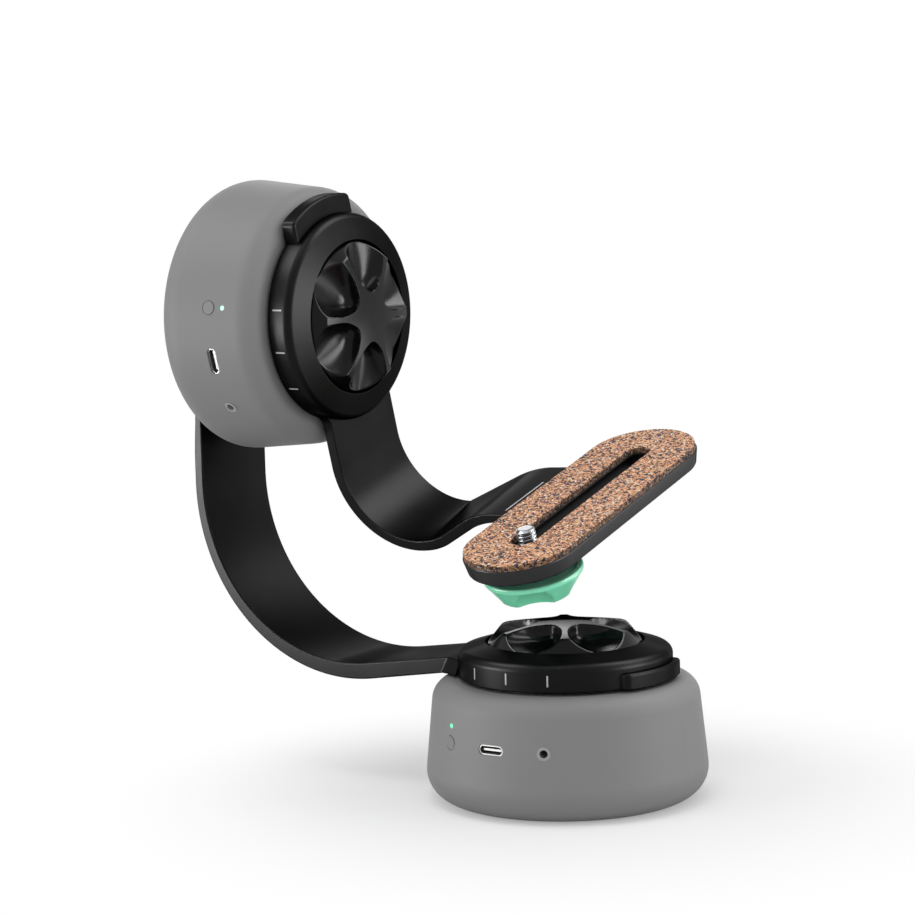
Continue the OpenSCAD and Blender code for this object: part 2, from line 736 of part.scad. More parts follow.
module camera_arm() {
    color([0.12, 0.12, 0.12]) at_tilt() {
        hub_solid(180, tilt_tab_d / 2);
        difference() {
            translate([0, 0, head_h]) {
                rotate([90, 0, 0]) linear_extrude(arm_w, center = true) camera_arm_section();
                translate([plate_top_d, -tongue_w / 2, plate_edge_u - eps])
                    cube([strap_t, tongue_w, tongue_l + eps]);
            }
            translate([0, 0, head_h - 1]) cylinder(r = hub_r - 5, h = hub_h);
            for (y = tongue_screws) translate([plate_top_d - 1, y, head_h + tongue_screw_u])
                rotate([0, 90, 0]) cylinder(d = 2.5, h = strap_t + 2);
            arm_line();
        }
    }
}

module camera_plate() {
    color([0.2, 0.2, 0.2]) at_plate() translate([0, 0, -cork_t - plate_t]) difference() {
        linear_extrude(plate_t) stadium(plate_l, plate_w);
        translate([0, 0, -1]) linear_extrude(plate_t + 2) stadium(slot_l, slot_w);
        translate([-plate_w / 2 - 1, plate_back - tongue_w / 2 - pocket_gap, plate_t - strap_t - pocket_gap])
            cube([tongue_l + 1 + pocket_gap, tongue_w + 2 * pocket_gap, strap_t + 1]);
        for (y = tongue_screws) translate([-plate_w / 2 + tongue_l / 2, y + plate_back, -1]) {
            cylinder(d = 3.2, h = plate_t);
            cylinder(d = 5.4, h = 2);
        }
    }
}

module cork_pad() {
    color([0.78, 0.53, 0.4]) at_plate() translate([0, 0, -cork_t]) difference() {
        linear_extrude(cork_t) stadium(plate_l - 2 * cork_inset, plate_w - 2 * cork_inset);
        translate([0, 0, -1]) linear_extrude(cork_t + 2) stadium(slot_l + cork_slot_w - slot_w, cork_slot_w);
    }
}

module plate_screws() {
    color("silver") at_plate() for (y = tongue_screws)
        translate([-plate_w / 2 + tongue_l / 2, y + plate_back, -cork_t - plate_t]) {
        difference() {
            cylinder(d = 5.2, h = 0.9);
            translate([0, 0, -eps]) cylinder(d = 2.2, h = 0.6, $fn = 6);
        }
        cylinder(d = 2.4, h = plate_t - 0.2);
    }
}

module at_screw() {
    at_plate() translate([0, -screw_at, plate_drop]) children();
}

module screw_bush() {
    color([0.15, 0.15, 0.15]) at_screw() difference() {
        union() {
            translate([0, 0, -plate_bottom_d - bush_flange_t])
                cylinder(r = bush_r, h = bush_flange_t + plate_t - 0.4);
            translate([0, 0, -plate_bottom_d - bush_flange_t])
                cylinder(d = 15, h = bush_flange_t - running_gap);
        }
        translate([0, 0, -plate_bottom_d - bush_flange_t - 1])
            cylinder(r = bush_bore_r - 0.35, h = plate_t + 4);
    }
}

module camera_screw() {
    tip = 0.8;
    neck_r = screw_d / 2 - 0.35;
    color("silver") at_screw() {
        translate([0, 0, -plate_drop]) {
            rotate_extrude() {
                square([screw_d / 2, screw_out - tip]);
                translate([0, screw_out - tip])
                    polygon([[0, 0], [screw_d / 2, 0], [screw_d / 2 - tip, tip], [0, tip]]);
            }
        }
        translate([0, 0, -screw_knob_top_d - 6])
            cylinder(r = neck_r, h = screw_knob_top_d - plate_drop + 6 + eps);
        translate([0, 0, -screw_knob_top_d - 6]) rotate([0, 0, screw_knob_angle])
            cylinder(d = 11, h = 4, $fn = 6);
    }
}

// Dished knob that narrows towards its foot, with four ball-shaped finger hollows
module camera_knob() {
    top_r = screw_knob_d / 2;
    foot_r = screw_knob_foot_d / 2;
    h = screw_knob_h;
    color([0.42, 0.8, 0.62]) at_screw() translate([0, 0, -screw_knob_top_d - h])
    rotate([0, 0, screw_knob_angle]) difference() {
        rotate_extrude() polygon([[0, 0], [foot_r - 1, 0], [foot_r, 1], [top_r - 1, h - 2.8], [top_r, h - 2],
            [top_r, h - 0.4], [top_r - 0.4, h], [top_r - 1.6, h], [top_r - 2.2, h - 0.8], [0, h - 0.8]]);
        for (i = [0:3]) rotate([0, 0, 45 + i * 90]) translate([hollow_at, 0, 0])
            rotate_extrude() polygon([[0, -1], [hollow_r, -1], for (a = [0, 30, 52, 70]) polar(hollow_r, a),
                [0, hollow_r * sin(70)]]);
        translate([0, 0, h - 6]) cylinder(d = 11, h = 4, $fn = 6);
        translate([0, 0, h - 3]) cylinder(r = screw_d / 2 - 0.35, h = 4);
    }
}

module pan_housing() { color([0.55, 0.55, 0.55]) head_housing(); }
module pan_base_plate() { color([0.25, 0.25, 0.25]) head_base_plate(); }
module pan_base_pad() { color([0.15, 0.15, 0.15]) head_base_pad(); }
module pan_tripod_insert() { color("goldenrod") head_tripod_insert(); }
module pan_base_screws() { color("silver") head_base_screws(); }
module pan_motor() { color("silver") head_motor(); }
module pan_pinion() { color("goldenrod") head_pinion(); }
module pan_output_gear() { color("ivory") head_output_gear(); }
module pan_bearing() { color("lightsteelblue") head_bearing(); }
module pan_battery() { color("steelblue") head_battery(); }
module pan_circuit_board() { color("seagreen") head_circuit_board(); }
module pan_usb_port() { color("silver") head_usb_port(); }
module pan_power_button() { color([0.5, 0.5, 0.5]) head_power_button(); }
module pan_status_light() { color([0.3, 0.9, 0.6]) head_status_light(); }
module pan_trigger_jack() { color([0.3, 0.3, 0.3]) head_trigger_jack(); }
module pan_turntable() { color("silver") head_turntable(); }

module tilt_housing() { at_tilt() pan_housing(); }
module tilt_base_plate() { at_tilt() pan_base_plate(); }
module tilt_base_pad() { at_tilt() pan_base_pad(); }
module tilt_tripod_insert() { at_tilt() pan_tripod_insert(); }
module tilt_base_screws() { at_tilt() pan_base_screws(); }
module tilt_motor() { at_tilt() pan_motor(); }
module tilt_pinion() { at_tilt() pan_pinion(); }
module tilt_output_gear() { at_tilt() pan_output_gear(); }
module tilt_bearing() { at_tilt() pan_bearing(); }
module tilt_battery() { at_tilt() pan_battery(); }
module tilt_circuit_board() { at_tilt() pan_circuit_board(); }
module tilt_usb_port() { at_tilt() pan_usb_port(); }
module tilt_power_button() { at_tilt() pan_power_button(); }
module tilt_status_light() { at_tilt() pan_status_light(); }
module tilt_trigger_jack() { at_tilt() pan_trigger_jack(); }
module tilt_turntable() { at_tilt() pan_turntable(); }

pan_housing();
pan_base_plate();
pan_base_pad();
pan_tripod_insert();
pan_base_screws();
pan_motor();
pan_pinion();
pan_output_gear();
pan_bearing();
pan_battery();
pan_circuit_board();
pan_usb_port();
pan_power_button();
pan_status_light();
pan_trigger_jack();
pan_turntable();
tilt_housing();
tilt_base_plate();
tilt_base_pad();
tilt_tripod_insert();
tilt_base_screws();
tilt_motor();
tilt_pinion();
tilt_output_gear();
tilt_bearing();
tilt_battery();
tilt_circuit_board();
tilt_usb_port();
tilt_power_button();
tilt_status_light();
tilt_trigger_jack();
tilt_turntable();
lower_arm();
hub_pad();  // pan_hub_pad
index_ticks();  // pan_index_ticks
clamp_knob(pan_knob_angle);  // pan_knob
knob_stud(pan_knob_angle);  // pan_knob_stud
knob_washer();  // pan_knob_washer
tilt_mount_pad();
tilt_mount_screw();
tilt_mount_washer();
camera_arm();
at_tilt() hub_pad();  // tilt_hub_pad
at_tilt() tilt_marks();  // tilt_index_ticks
at_tilt() clamp_knob(tilt_knob_angle);  // tilt_knob
at_tilt() knob_stud(tilt_knob_angle);  // tilt_knob_stud
at_tilt() knob_washer();  // tilt_knob_washer
camera_plate();
cork_pad();
plate_screws();
screw_bush();
camera_screw();
camera_knob();
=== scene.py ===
"""Looks of the pan tilt bracket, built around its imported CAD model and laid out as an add-on.

Every piece stands in the frame of the CAD model: metres, the pan axis on +Z, the base on Z 0.
"""

import math

import bpy
import numpy as np
from mathutils import Matrix, Vector


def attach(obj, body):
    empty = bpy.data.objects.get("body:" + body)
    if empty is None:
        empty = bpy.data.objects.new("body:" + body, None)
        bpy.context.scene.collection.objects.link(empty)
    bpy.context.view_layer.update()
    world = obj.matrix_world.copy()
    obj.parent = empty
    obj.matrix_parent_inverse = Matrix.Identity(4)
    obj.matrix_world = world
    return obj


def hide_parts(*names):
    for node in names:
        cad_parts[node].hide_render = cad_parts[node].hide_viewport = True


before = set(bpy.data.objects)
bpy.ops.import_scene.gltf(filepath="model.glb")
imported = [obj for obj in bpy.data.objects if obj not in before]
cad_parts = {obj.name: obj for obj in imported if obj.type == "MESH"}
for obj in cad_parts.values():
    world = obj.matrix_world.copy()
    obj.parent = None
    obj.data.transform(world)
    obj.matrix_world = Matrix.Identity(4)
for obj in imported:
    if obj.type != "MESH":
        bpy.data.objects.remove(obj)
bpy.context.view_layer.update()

bl_info = {
    "name": "Pan tilt bracket",
    "version": (1, 0, 0),
    "blender": (4, 5, 0),
    "location": "3D View > Sidebar > Bracket",
    "description": "Dresses the CAD model of a motorised pan tilt bracket for a camera",
    "category": "Object",
}

MM = 0.001

# Sizes that the solids share with this file, in millimetres and degrees: heads and axes
HEAD_H = 40.5
TILT_AXIS_Z = 155.0
TILT_BASE_X = -131.5
TILT_ANGLE = 16.0

# Hubs and their stop tabs
HUB_R = 35.0
HUB_H = 11.2
HUB_WALL_H = 6.2
HUB_EDGE_R = 3.0
HUB_FLOOR_T = 4.4
HOLE_R = 25.8
PAD_RECESS_R = 27.2
TAB_W = 32.4
TAB_H = 5.2
PAN_TAB_R = 37.5
TILT_TAB_R = 41.5

# Arms, camera plate, cork and camera screw
ARM_W = 35.0
PLATE_BACK = 4.2
PLATE_DROP = 58.6
PLATE_L = 115.0
PLATE_W = 38.0
PLATE_T = 5.4
CORK_T = 2.0
CORK_INSET = 0.3
SLOT_L = 79.6
SLOT_W = 7.0
CORK_SLOT_W = 8.2
SCREW_AT = 34.5
SCREW_KNOB_DROP = 69.9

# Places of the pieces that are drawn in a head's or the plate's own directions
AT_PAN = Matrix.Identity(4)
TILT_TURN = Matrix.Rotation(math.radians(TILT_ANGLE), 4, "X")
AT_TILT = (Matrix.Translation((TILT_BASE_X * MM, 0, TILT_AXIS_Z * MM)) @ TILT_TURN
           @ Matrix.Rotation(math.radians(90), 4, "Y"))
AT_PLATE = (Matrix.Translation((0, 0, TILT_AXIS_Z * MM)) @ TILT_TURN
            @ Matrix.Translation((0, -PLATE_BACK * MM, -PLATE_DROP * MM)))
AT_SCREW = AT_PLATE @ Matrix.Translation((0, -SCREW_AT * MM, 0))

# Lamps: name, place and width in metres, power in watts, and whether matt surfaces are lit as well.
# The cards show in gloss only: they are the soft bands along the black edges and bends.
LAMPS = (
    ("overhead softbox", (0.0, -0.3, 1.15), 0.5, 2.2, True),
    ("front left softbox", (-0.7, -1.1, 0.8), 0.6, 2.0, True),
    ("right softbox", (1.1, 0.2, 0.3), 0.5, 2.0, True),
    ("upper left card", (-0.7, -0.35, 1.0), 0.5, 11.0, False),
    ("low left softbox", (-0.9, -0.85, 0.15), 0.4, 1.3, True),
    ("right card", (1.05, 0.4, 0.2), 0.6, 14.0, False),
    ("front left card", (-0.8, -0.95, 0.1), 0.5, 10.0, False),
    ("back right card", (0.44, 0.52, 0.91), 0.75, 15.0, False),
    ("back left card", (-0.7, 0.77, 0.6), 0.45, 1.6, False),
    ("near left card", (-0.39, -0.32, 0.067), 0.13, 1.9, False),
    ("near right card", (0.21, 0.245, 0.055), 0.11, 0.22, False),
)
LAMP_AIM = Vector((-0.03, 0, 0.1))
FILL_LIGHT = 0.8

# The floor, in metres: half its width, where its soft shadow starts to fade and ends; the glow in it
FLOOR_HALF = 30
SHADOW_FROM = 0.06
SHADOW_TO = 0.16
SHADOW_GLOW = 0.3

# The camera: place in metres; degrees round from the front, above the level and of lean; picture width
CAMERA_AT = (0.516651, -0.799882, 0.226916)
CAMERA_ROUND = 34.866
CAMERA_ABOVE = 6.892
CAMERA_LEAN = -1.509
CAMERA_FAR = 100
FOCAL_PX = 2969.774
PICTURE_PX = 915
SENSOR_MM = 36


def linear(hex_colour):
    """Linear RGB of an sRGB hex colour."""
    parts = [int(hex_colour[i:i + 2], 16) / 255 for i in (1, 3, 5)]
    return tuple(c / 12.92 if c <= 0.04045 else ((c + 0.055) / 1.055) ** 2.4 for c in parts)


class BracketSizes(bpy.types.PropertyGroup):
    """Sizes of the finish that the solids leave out."""

    strap_edge: bpy.props.FloatProperty(
        name="Strap edge", description="Rounding along the edges of both arms",
        default=0.55 * MM, min=0.1 * MM, max=1.2 * MM, unit="LENGTH")
    hub_fillet: bpy.props.FloatProperty(
        name="Hub fillet", description="Fillet where an arm's edges run into its hub",
        default=6 * MM, min=1 * MM, max=12 * MM, unit="LENGTH")
    tab_corner: bpy.props.FloatProperty(
        name="Tab corner", description="Rounding of the upright corners of a hub's tab",
        default=2.2 * MM, min=0.4 * MM, max=4 * MM, unit="LENGTH")
    tab_edge: bpy.props.FloatProperty(
        name="Tab edge", description="Rounding of a tab's upper edge",
        default=1.0 * MM, min=0.1 * MM, max=1.5 * MM, unit="LENGTH")
    knob_edge: bpy.props.FloatProperty(
        name="Knob edge", description="Softening of the edges of the clamp knobs' finger scoops",
        default=0.45 * MM, min=0.1 * MM, max=1.5 * MM, unit="LENGTH")
    plate_taper: bpy.props.FloatProperty(
        name="Plate taper", description="How far the plate's sides lean in towards its underside",
        default=1.0 * MM, min=0, max=2 * MM, unit="LENGTH")
    thread_pitch: bpy.props.FloatProperty(
        name="Thread pitch", description="Pitch of the camera screw's thread",
        default=1.27 * MM, min=0.5 * MM, max=2 * MM, unit="LENGTH")
    granule: bpy.props.FloatProperty(
        name="Granule", description="Width of a granule in the cork pad",
        default=0.5 * MM, min=0.3 * MM, max=3 * MM, unit="LENGTH")


class BracketColours(bpy.types.PropertyGroup):
    """Colours of the main finishes."""

    shell: bpy.props.FloatVectorProperty(
        name="Head shell", description="Moulded shell of both heads",
        subtype="COLOR", min=0, max=1, default=linear("#7a7a7a"))
    arms: bpy.props.FloatVectorProperty(
        name="Arms", description="Anodised hubs and arms",
        subtype="COLOR", min=0, max=1, default=linear("#1a1a1a"))
    knobs: bpy.props.FloatVectorProperty(
        name="Clamp knobs", description="Moulded clamp knobs",
        subtype="COLOR", min=0, max=1, default=linear("#080809"))
    plate: bpy.props.FloatVectorProperty(
        name="Camera plate", description="Anodised camera plate",
        subtype="COLOR", min=0, max=1, default=linear("#343435"))
    cork: bpy.props.FloatVectorProperty(
        name="Cork", description="Cork granules of the pad",
        subtype="COLOR", min=0, max=1, default=linear("#eda87b"))
    screw_knob: bpy.props.FloatVectorProperty(
        name="Screw knob", description="Moulded knob of the camera screw",
        subtype="COLOR", min=0, max=1, default=linear("#7edfb5"))


def sizes():
    """The sizes that the panel shows."""
    return bpy.context.scene.bracket_sizes


def colours():
    """The colours that the panel shows."""
    return bpy.context.scene.bracket_colours


# Shapes: each returns (points in millimetres, faces) in the piece's own directions


def skin(loops, closed=False):
    """Quads over a stack of equal loops, with flat ends or, closed, the last joined to the first."""
    loops = np.asarray(loops, float)
    count, around = loops.shape[:2]
    rows = count if closed else count - 1
    faces = [(i * around + j, i * around + (j + 1) % around,
              (i + 1) % count * around + (j + 1) % around, (i + 1) % count * around + j)
             for i in range(rows) for j in range(around)]
    if not closed:
        faces.append(tuple(reversed(range(around))))
        faces.append(tuple(range((count - 1) * around, count * around)))
    return loops.reshape(-1, 3), faces


def arc(centre, radius, start, end, count):
    """Points along an arc in the plane, angles in degrees."""
    a = np.radians(np.linspace(start, end, count))
    return np.stack([centre[0] + radius * np.cos(a), centre[1] + radius * np.sin(a)], 1)


def touch(point, centre, radius):
    """Angle on a circle, in degrees, where a straight line from a point touches it."""
    d = point - centre
    return math.degrees(math.atan2(d[1], d[0]) - math.acos(radius / np.linalg.norm(d)))


def turned(profile, count):
    """A closed ring turned about +Z from (radius, height) points."""
    profile = np.asarray(profile, float)
    a = np.linspace(0, 2 * math.pi, count, endpoint=False)
    loops = np.zeros((len(profile), count, 3))
    loops[:, :, 0] = profile[:, :1] * np.cos(a)
    loops[:, :, 1] = profile[:, :1] * np.sin(a)
    loops[:, :, 2] = profile[:, 1:]
    return skin(loops, closed=True)


def strap(near, far, widths, edge, columns=9, steps=5):
    """A bent strap between the side views of its -Y and +Y edges.

    Each side view is a pair of faces, outer and inner, as (across, up) points; widths holds how far
    the two edges lie from the middle at each station.
    """
    near, far, widths = (np.asarray(v, float) for v in (near, far, widths))
    quarter = np.radians(np.linspace(0, 90, steps))
    across = np.linspace(1, -1, columns)[1:-1]
    most = 0.95
    loops = []
    for k in range(near.shape[1]):
        half = (np.linalg.norm(near[1, k] - near[0, k]) + np.linalg.norm(far[1, k] - far[0, k])) / 4
        w, shift = widths[:, k].mean(), (widths[1, k] - widths[0, k]) / 2
        e = min(edge, half * most, w * most)
        net = []
        for turn, (sa, sb) in enumerate(((1, 1), (-1, 1), (-1, -1), (1, -1))):
            t = quarter + turn * math.pi / 2
            net += list(zip(sa * (half - e) + e * np.cos(t), sb * (w - e) + e * np.sin(t)))
            if turn in (1, 3):
                net += [(sa * half, sb * (w - e) * x) for x in across]
        loop = []
        for a, b in net:
            share = (1 + b / w) / 2
            o = near[0, k] + (far[0, k] - near[0, k]) * share
            i = near[1, k] + (far[1, k] - near[1, k]) * share
            p = (o + i) / 2 + (i - o) / np.linalg.norm(i - o) * a
            loop.append((p[0], b + shift, p[1]))
        loops.append(loop)
    return skin(loops)


def flare(x, fillet):
    """How much wider than the strap an arm is where its edges run into the hub in a fillet."""
    half, most = ARM_W / 2, 0.98
    centre = math.sqrt((HUB_R + fillet) ** 2 - (half + fillet) ** 2)
    t = np.clip(centre - np.abs(x), 0, fillet * most)
    return fillet - np.sqrt(fillet ** 2 - t ** 2)


def stadium(length, width, inset, z, ends=40, sides=30):
    """A loop of points round a slot shape that runs along Y."""
    r = width / 2 - inset
    run = (length - width) / 2
    top = arc((0, run), r, 0, 180, ends)
    bottom = arc((0, -run), r, 180, 360, ends)
    t = np.linspace(0, 1, sides + 2)[1:-1, None]
    left = top[-1] + (bottom[0] - top[-1]) * t
    right = bottom[-1] + (top[0] - bottom[-1]) * t
    loop = np.concatenate([top, left, bottom, right])
    return np.column_stack([loop, np.full(len(loop), z)])


def tab_block(radius, edge, corner):
    """Stop tab on a hub's wall, pointing along +X: round front, soft corners and upper edge."""
    half, root_x, foot_edge = TAB_W / 2, HUB_R - 6, 0.3
    centre_r = radius - corner
    a = math.degrees(math.asin((half - corner) / centre_r))
    front = arc((0, 0), radius, -a, a, 28)
    c = np.array([centre_r * math.cos(math.radians(a)), half - corner])
    upper = arc(c, corner, a, 90, 8)[1:]
    lower = arc(c * [1, -1], corner, -90, -a, 8)[:-1]
    outline = np.concatenate([[[root_x, -half]], lower, front, upper, [[root_x, half]]])
    along = np.roll(outline, -1, 0) - np.roll(outline, 1, 0)
    normal = np.stack([along[:, 1], -along[:, 0]], 1) / np.linalg.norm(along, axis=1)[:, None]
    normal[[0, -1], 0] = 0
    normal[[0, -1], 1] = [-1, 1]
    # Each level of the block as (inset, height)
    rise = [(foot_edge, 0), (0, foot_edge)]
    rise += [(edge * (1 - math.cos(t)), TAB_H - edge * (1 - math.sin(t)))
             for t in np.radians(np.linspace(0, 90, 7))]
    return skin([np.column_stack([outline - normal * d, np.full(len(outline), z)]) for d, z in rise])


def hub_ring():
    """Hub that a clamp knob sits in: rounded edge, sloping top, straight hole and a recess below."""
    stud_r, recess_h, lip_h = 6, 1, HUB_H - 0.16
    lean = math.degrees(math.atan2(HUB_H - HUB_WALL_H - HUB_EDGE_R, HUB_R - HUB_EDGE_R - HOLE_R))
    foot = [(HUB_R - 0.5, 0), (HUB_R - 0.15, 0.12), (HUB_R, 0.45)]
    edge = arc((HUB_R - HUB_EDGE_R, HUB_WALL_H), HUB_EDGE_R, 0, 90 - lean, 12)
    lip = [(HOLE_R + 0.5, lip_h), (HOLE_R + 0.2, lip_h), (HOLE_R, HUB_H - 0.4)]
    recess = [(stud_r, recess_h), (PAD_RECESS_R, recess_h), (PAD_RECESS_R, 0)]
    return turned([(stud_r, HUB_FLOOR_T), *recess, *foot, *edge, *lip, (HOLE_R, HUB_FLOOR_T)], 240)


def join(*parts):
    """One set of points and faces from several."""
    points, faces, start = [], [], 0
    for p, f in parts:
        points.append(p)
        faces += [tuple(i + start for i in face) for face in f]
        start += len(p)
    return np.concatenate(points), faces


def moved(part, z, turn=0):
    """The same part turned about +Z, in degrees, and then raised."""
    points, faces = part
    c, s = math.cos(math.radians(turn)), math.sin(math.radians(turn))
    return points @ np.array([[c, s, 0], [-s, c, 0], [0, 0, 1]]) + [0, 0, z], faces


def set_piece(name, part, place, material, body, node, sharp=40):
    """Makes the mesh, gives it its finish and lets it stand for its CAD node."""
    points, faces = part
    if not np.isfinite(points).all():
        raise RuntimeError(f"{name}: a point of its shape isn't a number")
    mesh = bpy.data.meshes.new(name)
    mesh.from_pydata((points * MM).tolist(), [], faces)
    mesh.transform(place)
    mesh.materials.append(material)
    mesh.polygons.foreach_set("use_smooth", [True] * len(mesh.polygons))
    mesh.set_sharp_from_angle(angle=math.radians(sharp))
    mesh.update()
    piece = bpy.data.objects.new(name, mesh)
    bpy.context.scene.collection.objects.link(piece)
    even = piece.modifiers.new("even shading", "WEIGHTED_NORMAL")
    even.keep_sharp = True
    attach(piece, body)
    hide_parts(node)


def dress(nodes, material):
    """Gives CAD nodes a finish."""
    for name in nodes:
        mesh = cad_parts[name].data
        mesh.materials.clear()
        mesh.materials.append(material)


# Finishes


def wire(tree, node, values=None, links=None):
    """Sets sockets of a node and links its sockets to outputs of other nodes."""
    for socket, value in (values or {}).items():
        node.inputs[socket].default_value = value
    for socket, source in (links or {}).items():
        tree.links.new(source, node.inputs[socket])


def add(tree, kind, values=None, links=None, **settings):
    """Adds a node with these fields, values and links."""
    node = tree.nodes.new(kind)
    for field, value in settings.items():
        setattr(node, field, value)
    wire(tree, node, values, links)
    return node


def start_finish(name):
    """A new material with its Principled shader; returns material, tree, shader and object coordinates."""
    material = bpy.data.materials.new(name)
    material.use_nodes = True
    tree = material.node_tree
    shader = tree.nodes["Principled BSDF"]
    place = add(tree, "ShaderNodeTexCoord").outputs["Object"]
    return material, tree, shader, place


def rgba(colour, light=1.0):
    """A colour made lighter or darker, as a socket takes it."""
    return (*[min(1.0, c * light) for c in colour], 1.0)


def in_sight(tree):
    """An output that is 1 where the camera or a reflection looks, and those for other rays."""
    rays = add(tree, "ShaderNodeLightPath").outputs
    seen = add(tree, "ShaderNodeMath", links={0: rays["Is Camera Ray"], 1: rays["Is Glossy Ray"]},
               operation="MAXIMUM")
    return seen.outputs[0], rays


def per_mm(width_mm):
    """Texture scale that gives a pattern of this width."""
    return 1 / (width_mm * MM)


def moulded(name, colour, roughness, pebble_mm, depth_mm, spread, gloss_level=0.5, slant_gloss=None):
    """A moulded skin: an even tone with slow clouds, and the tool's pebble in its gloss.

    A real pebble is about 0.1 mm wide, too fine to show in the render, so it is drawn coarser.
    slant_gloss is the gloss level where the skin is seen at a slant.
    """
    cloud_mm, play, slant_from, slant_to = 30, 0.05, 0.66, 0.82
    material, tree, shader, place = start_finish(name)
    cloud = add(tree, "ShaderNodeTexNoise", {"Scale": per_mm(cloud_mm), "Detail": 3}, {"Vector": place})
    tone = add(tree, "ShaderNodeValToRGB", links={"Fac": cloud.outputs["Fac"]})
    tone.color_ramp.elements[0].color = rgba(colour, 1 - spread)
    tone.color_ramp.elements[1].color = rgba(colour, 1 + spread)
    pebble = add(tree, "ShaderNodeTexNoise", {"Scale": per_mm(pebble_mm), "Detail": 2}, {"Vector": place})
    bump = add(tree, "ShaderNodeBump", {"Strength": 1, "Distance": depth_mm * MM},
               {"Height": pebble.outputs["Fac"]})
    gloss = add(tree, "ShaderNodeMapRange", {"To Min": roughness - play, "To Max": roughness + play},
                {"Value": pebble.outputs["Fac"]})
    wire(tree, shader, {"IOR": 1.53, "Specular IOR Level": gloss_level},
         {"Base Color": tone.outputs["Color"], "Roughness": gloss.outputs["Result"],
          "Normal": bump.outputs["Normal"]})
    if slant_gloss is not None:
        slant = add(tree, "ShaderNodeLayerWeight", {"Blend": 0.5})
        level = add(tree, "ShaderNodeMapRange",
                    {"From Min": slant_from, "From Max": slant_to, "To Min": gloss_level,
                     "To Max": slant_gloss}, {"Value": slant.outputs["Facing"]})
        wire(tree, shader, links={"Specular IOR Level": level.outputs["Result"]})
    return material


def anodised_metal(name, colour, roughness, grain_mm, depth_mm, edge_tint):
    """Aluminium, bead blasted and anodised: dark all over, with soft broad highlights and a fine grain.

    A blasted grain is under 0.1 mm wide, too fine to show in the render, so it is drawn coarser.
    edge_tint is how much light the dyed skin gives back at a slant; seen from its edge it gives less.
    """
    wear_mm, play, slant_from, slant_to, last_tint = 14, 0.06, 0.76, 0.88, 0.15
    material, tree, shader, place = start_finish(name)
    grain = add(tree, "ShaderNodeTexNoise", {"Scale": per_mm(grain_mm), "Detail": 3}, {"Vector": place})
    wear = add(tree, "ShaderNodeTexNoise", {"Scale": per_mm(wear_mm), "Detail": 4}, {"Vector": place})
    tone = add(tree, "ShaderNodeValToRGB", links={"Fac": wear.outputs["Fac"]})
    tone.color_ramp.elements[0].color = rgba(colour, 0.9)
    tone.color_ramp.elements[1].color = rgba(colour, 1.12)
    gloss = add(tree, "ShaderNodeMapRange", {"To Min": roughness - play, "To Max": roughness + play},
                {"Value": wear.outputs["Fac"]})
    bump = add(tree, "ShaderNodeBump", {"Strength": 1, "Distance": depth_mm * MM},
               {"Height": grain.outputs["Fac"]})
    slant = add(tree, "ShaderNodeLayerWeight", {"Blend": 0.5})
    tint = add(tree, "ShaderNodeMapRange",
               {"From Min": slant_from, "From Max": slant_to, "To Min": edge_tint, "To Max": last_tint},
               {"Value": slant.outputs["Facing"]})
    wire(tree, shader, {"Metallic": 1},
         {"Base Color": tone.outputs["Color"], "Roughness": gloss.outputs["Result"],
          "Normal": bump.outputs["Normal"], "Specular Tint": tint.outputs["Result"]})
    return material


def bare_metal(name, colour, roughness, line_mm, groove_shade=None):
    """Bare or plated metal: bright, with tool marks that vary its gloss, and painted shade in any grooves.

    Tool marks are under 0.1 mm wide, too fine to show in the render, so they are drawn coarser.
    groove_shade is the share of its light that the metal keeps in the grooves: painted shade there.
    """
    mark_depth, play, groove_at, crest_at = 0.004 * MM, 0.3, 0.43, 0.52
    material, tree, shader, place = start_finish(name)
    lines = add(tree, "ShaderNodeTexNoise", {"Scale": per_mm(line_mm), "Detail": 2}, {"Vector": place})
    gloss = add(tree, "ShaderNodeMapRange",
                {"To Min": roughness * (1 - play), "To Max": roughness * (1 + play)},
                {"Value": lines.outputs["Fac"]})
    bump = add(tree, "ShaderNodeBump", {"Strength": 1, "Distance": mark_depth},
               {"Height": lines.outputs["Fac"]})
    wire(tree, shader, {"Base Color": rgba(colour), "Metallic": 1},
         {"Roughness": gloss.outputs["Result"], "Normal": bump.outputs["Normal"]})
    if groove_shade:
        # Painted shade: where the surface is hollow, as in the grooves of a thread, it is made darker
        shape = add(tree, "ShaderNodeNewGeometry")
        painted_groove_shade = add(tree, "ShaderNodeValToRGB", links={"Fac": shape.outputs["Pointiness"]})
        for element, at, share in zip(painted_groove_shade.color_ramp.elements, (groove_at, crest_at), (groove_shade, 1)):
            element.position, element.color = at, rgba(colour, share)
        wire(tree, shader, links={"Base Color": painted_groove_shade.outputs["Color"]})
    return material


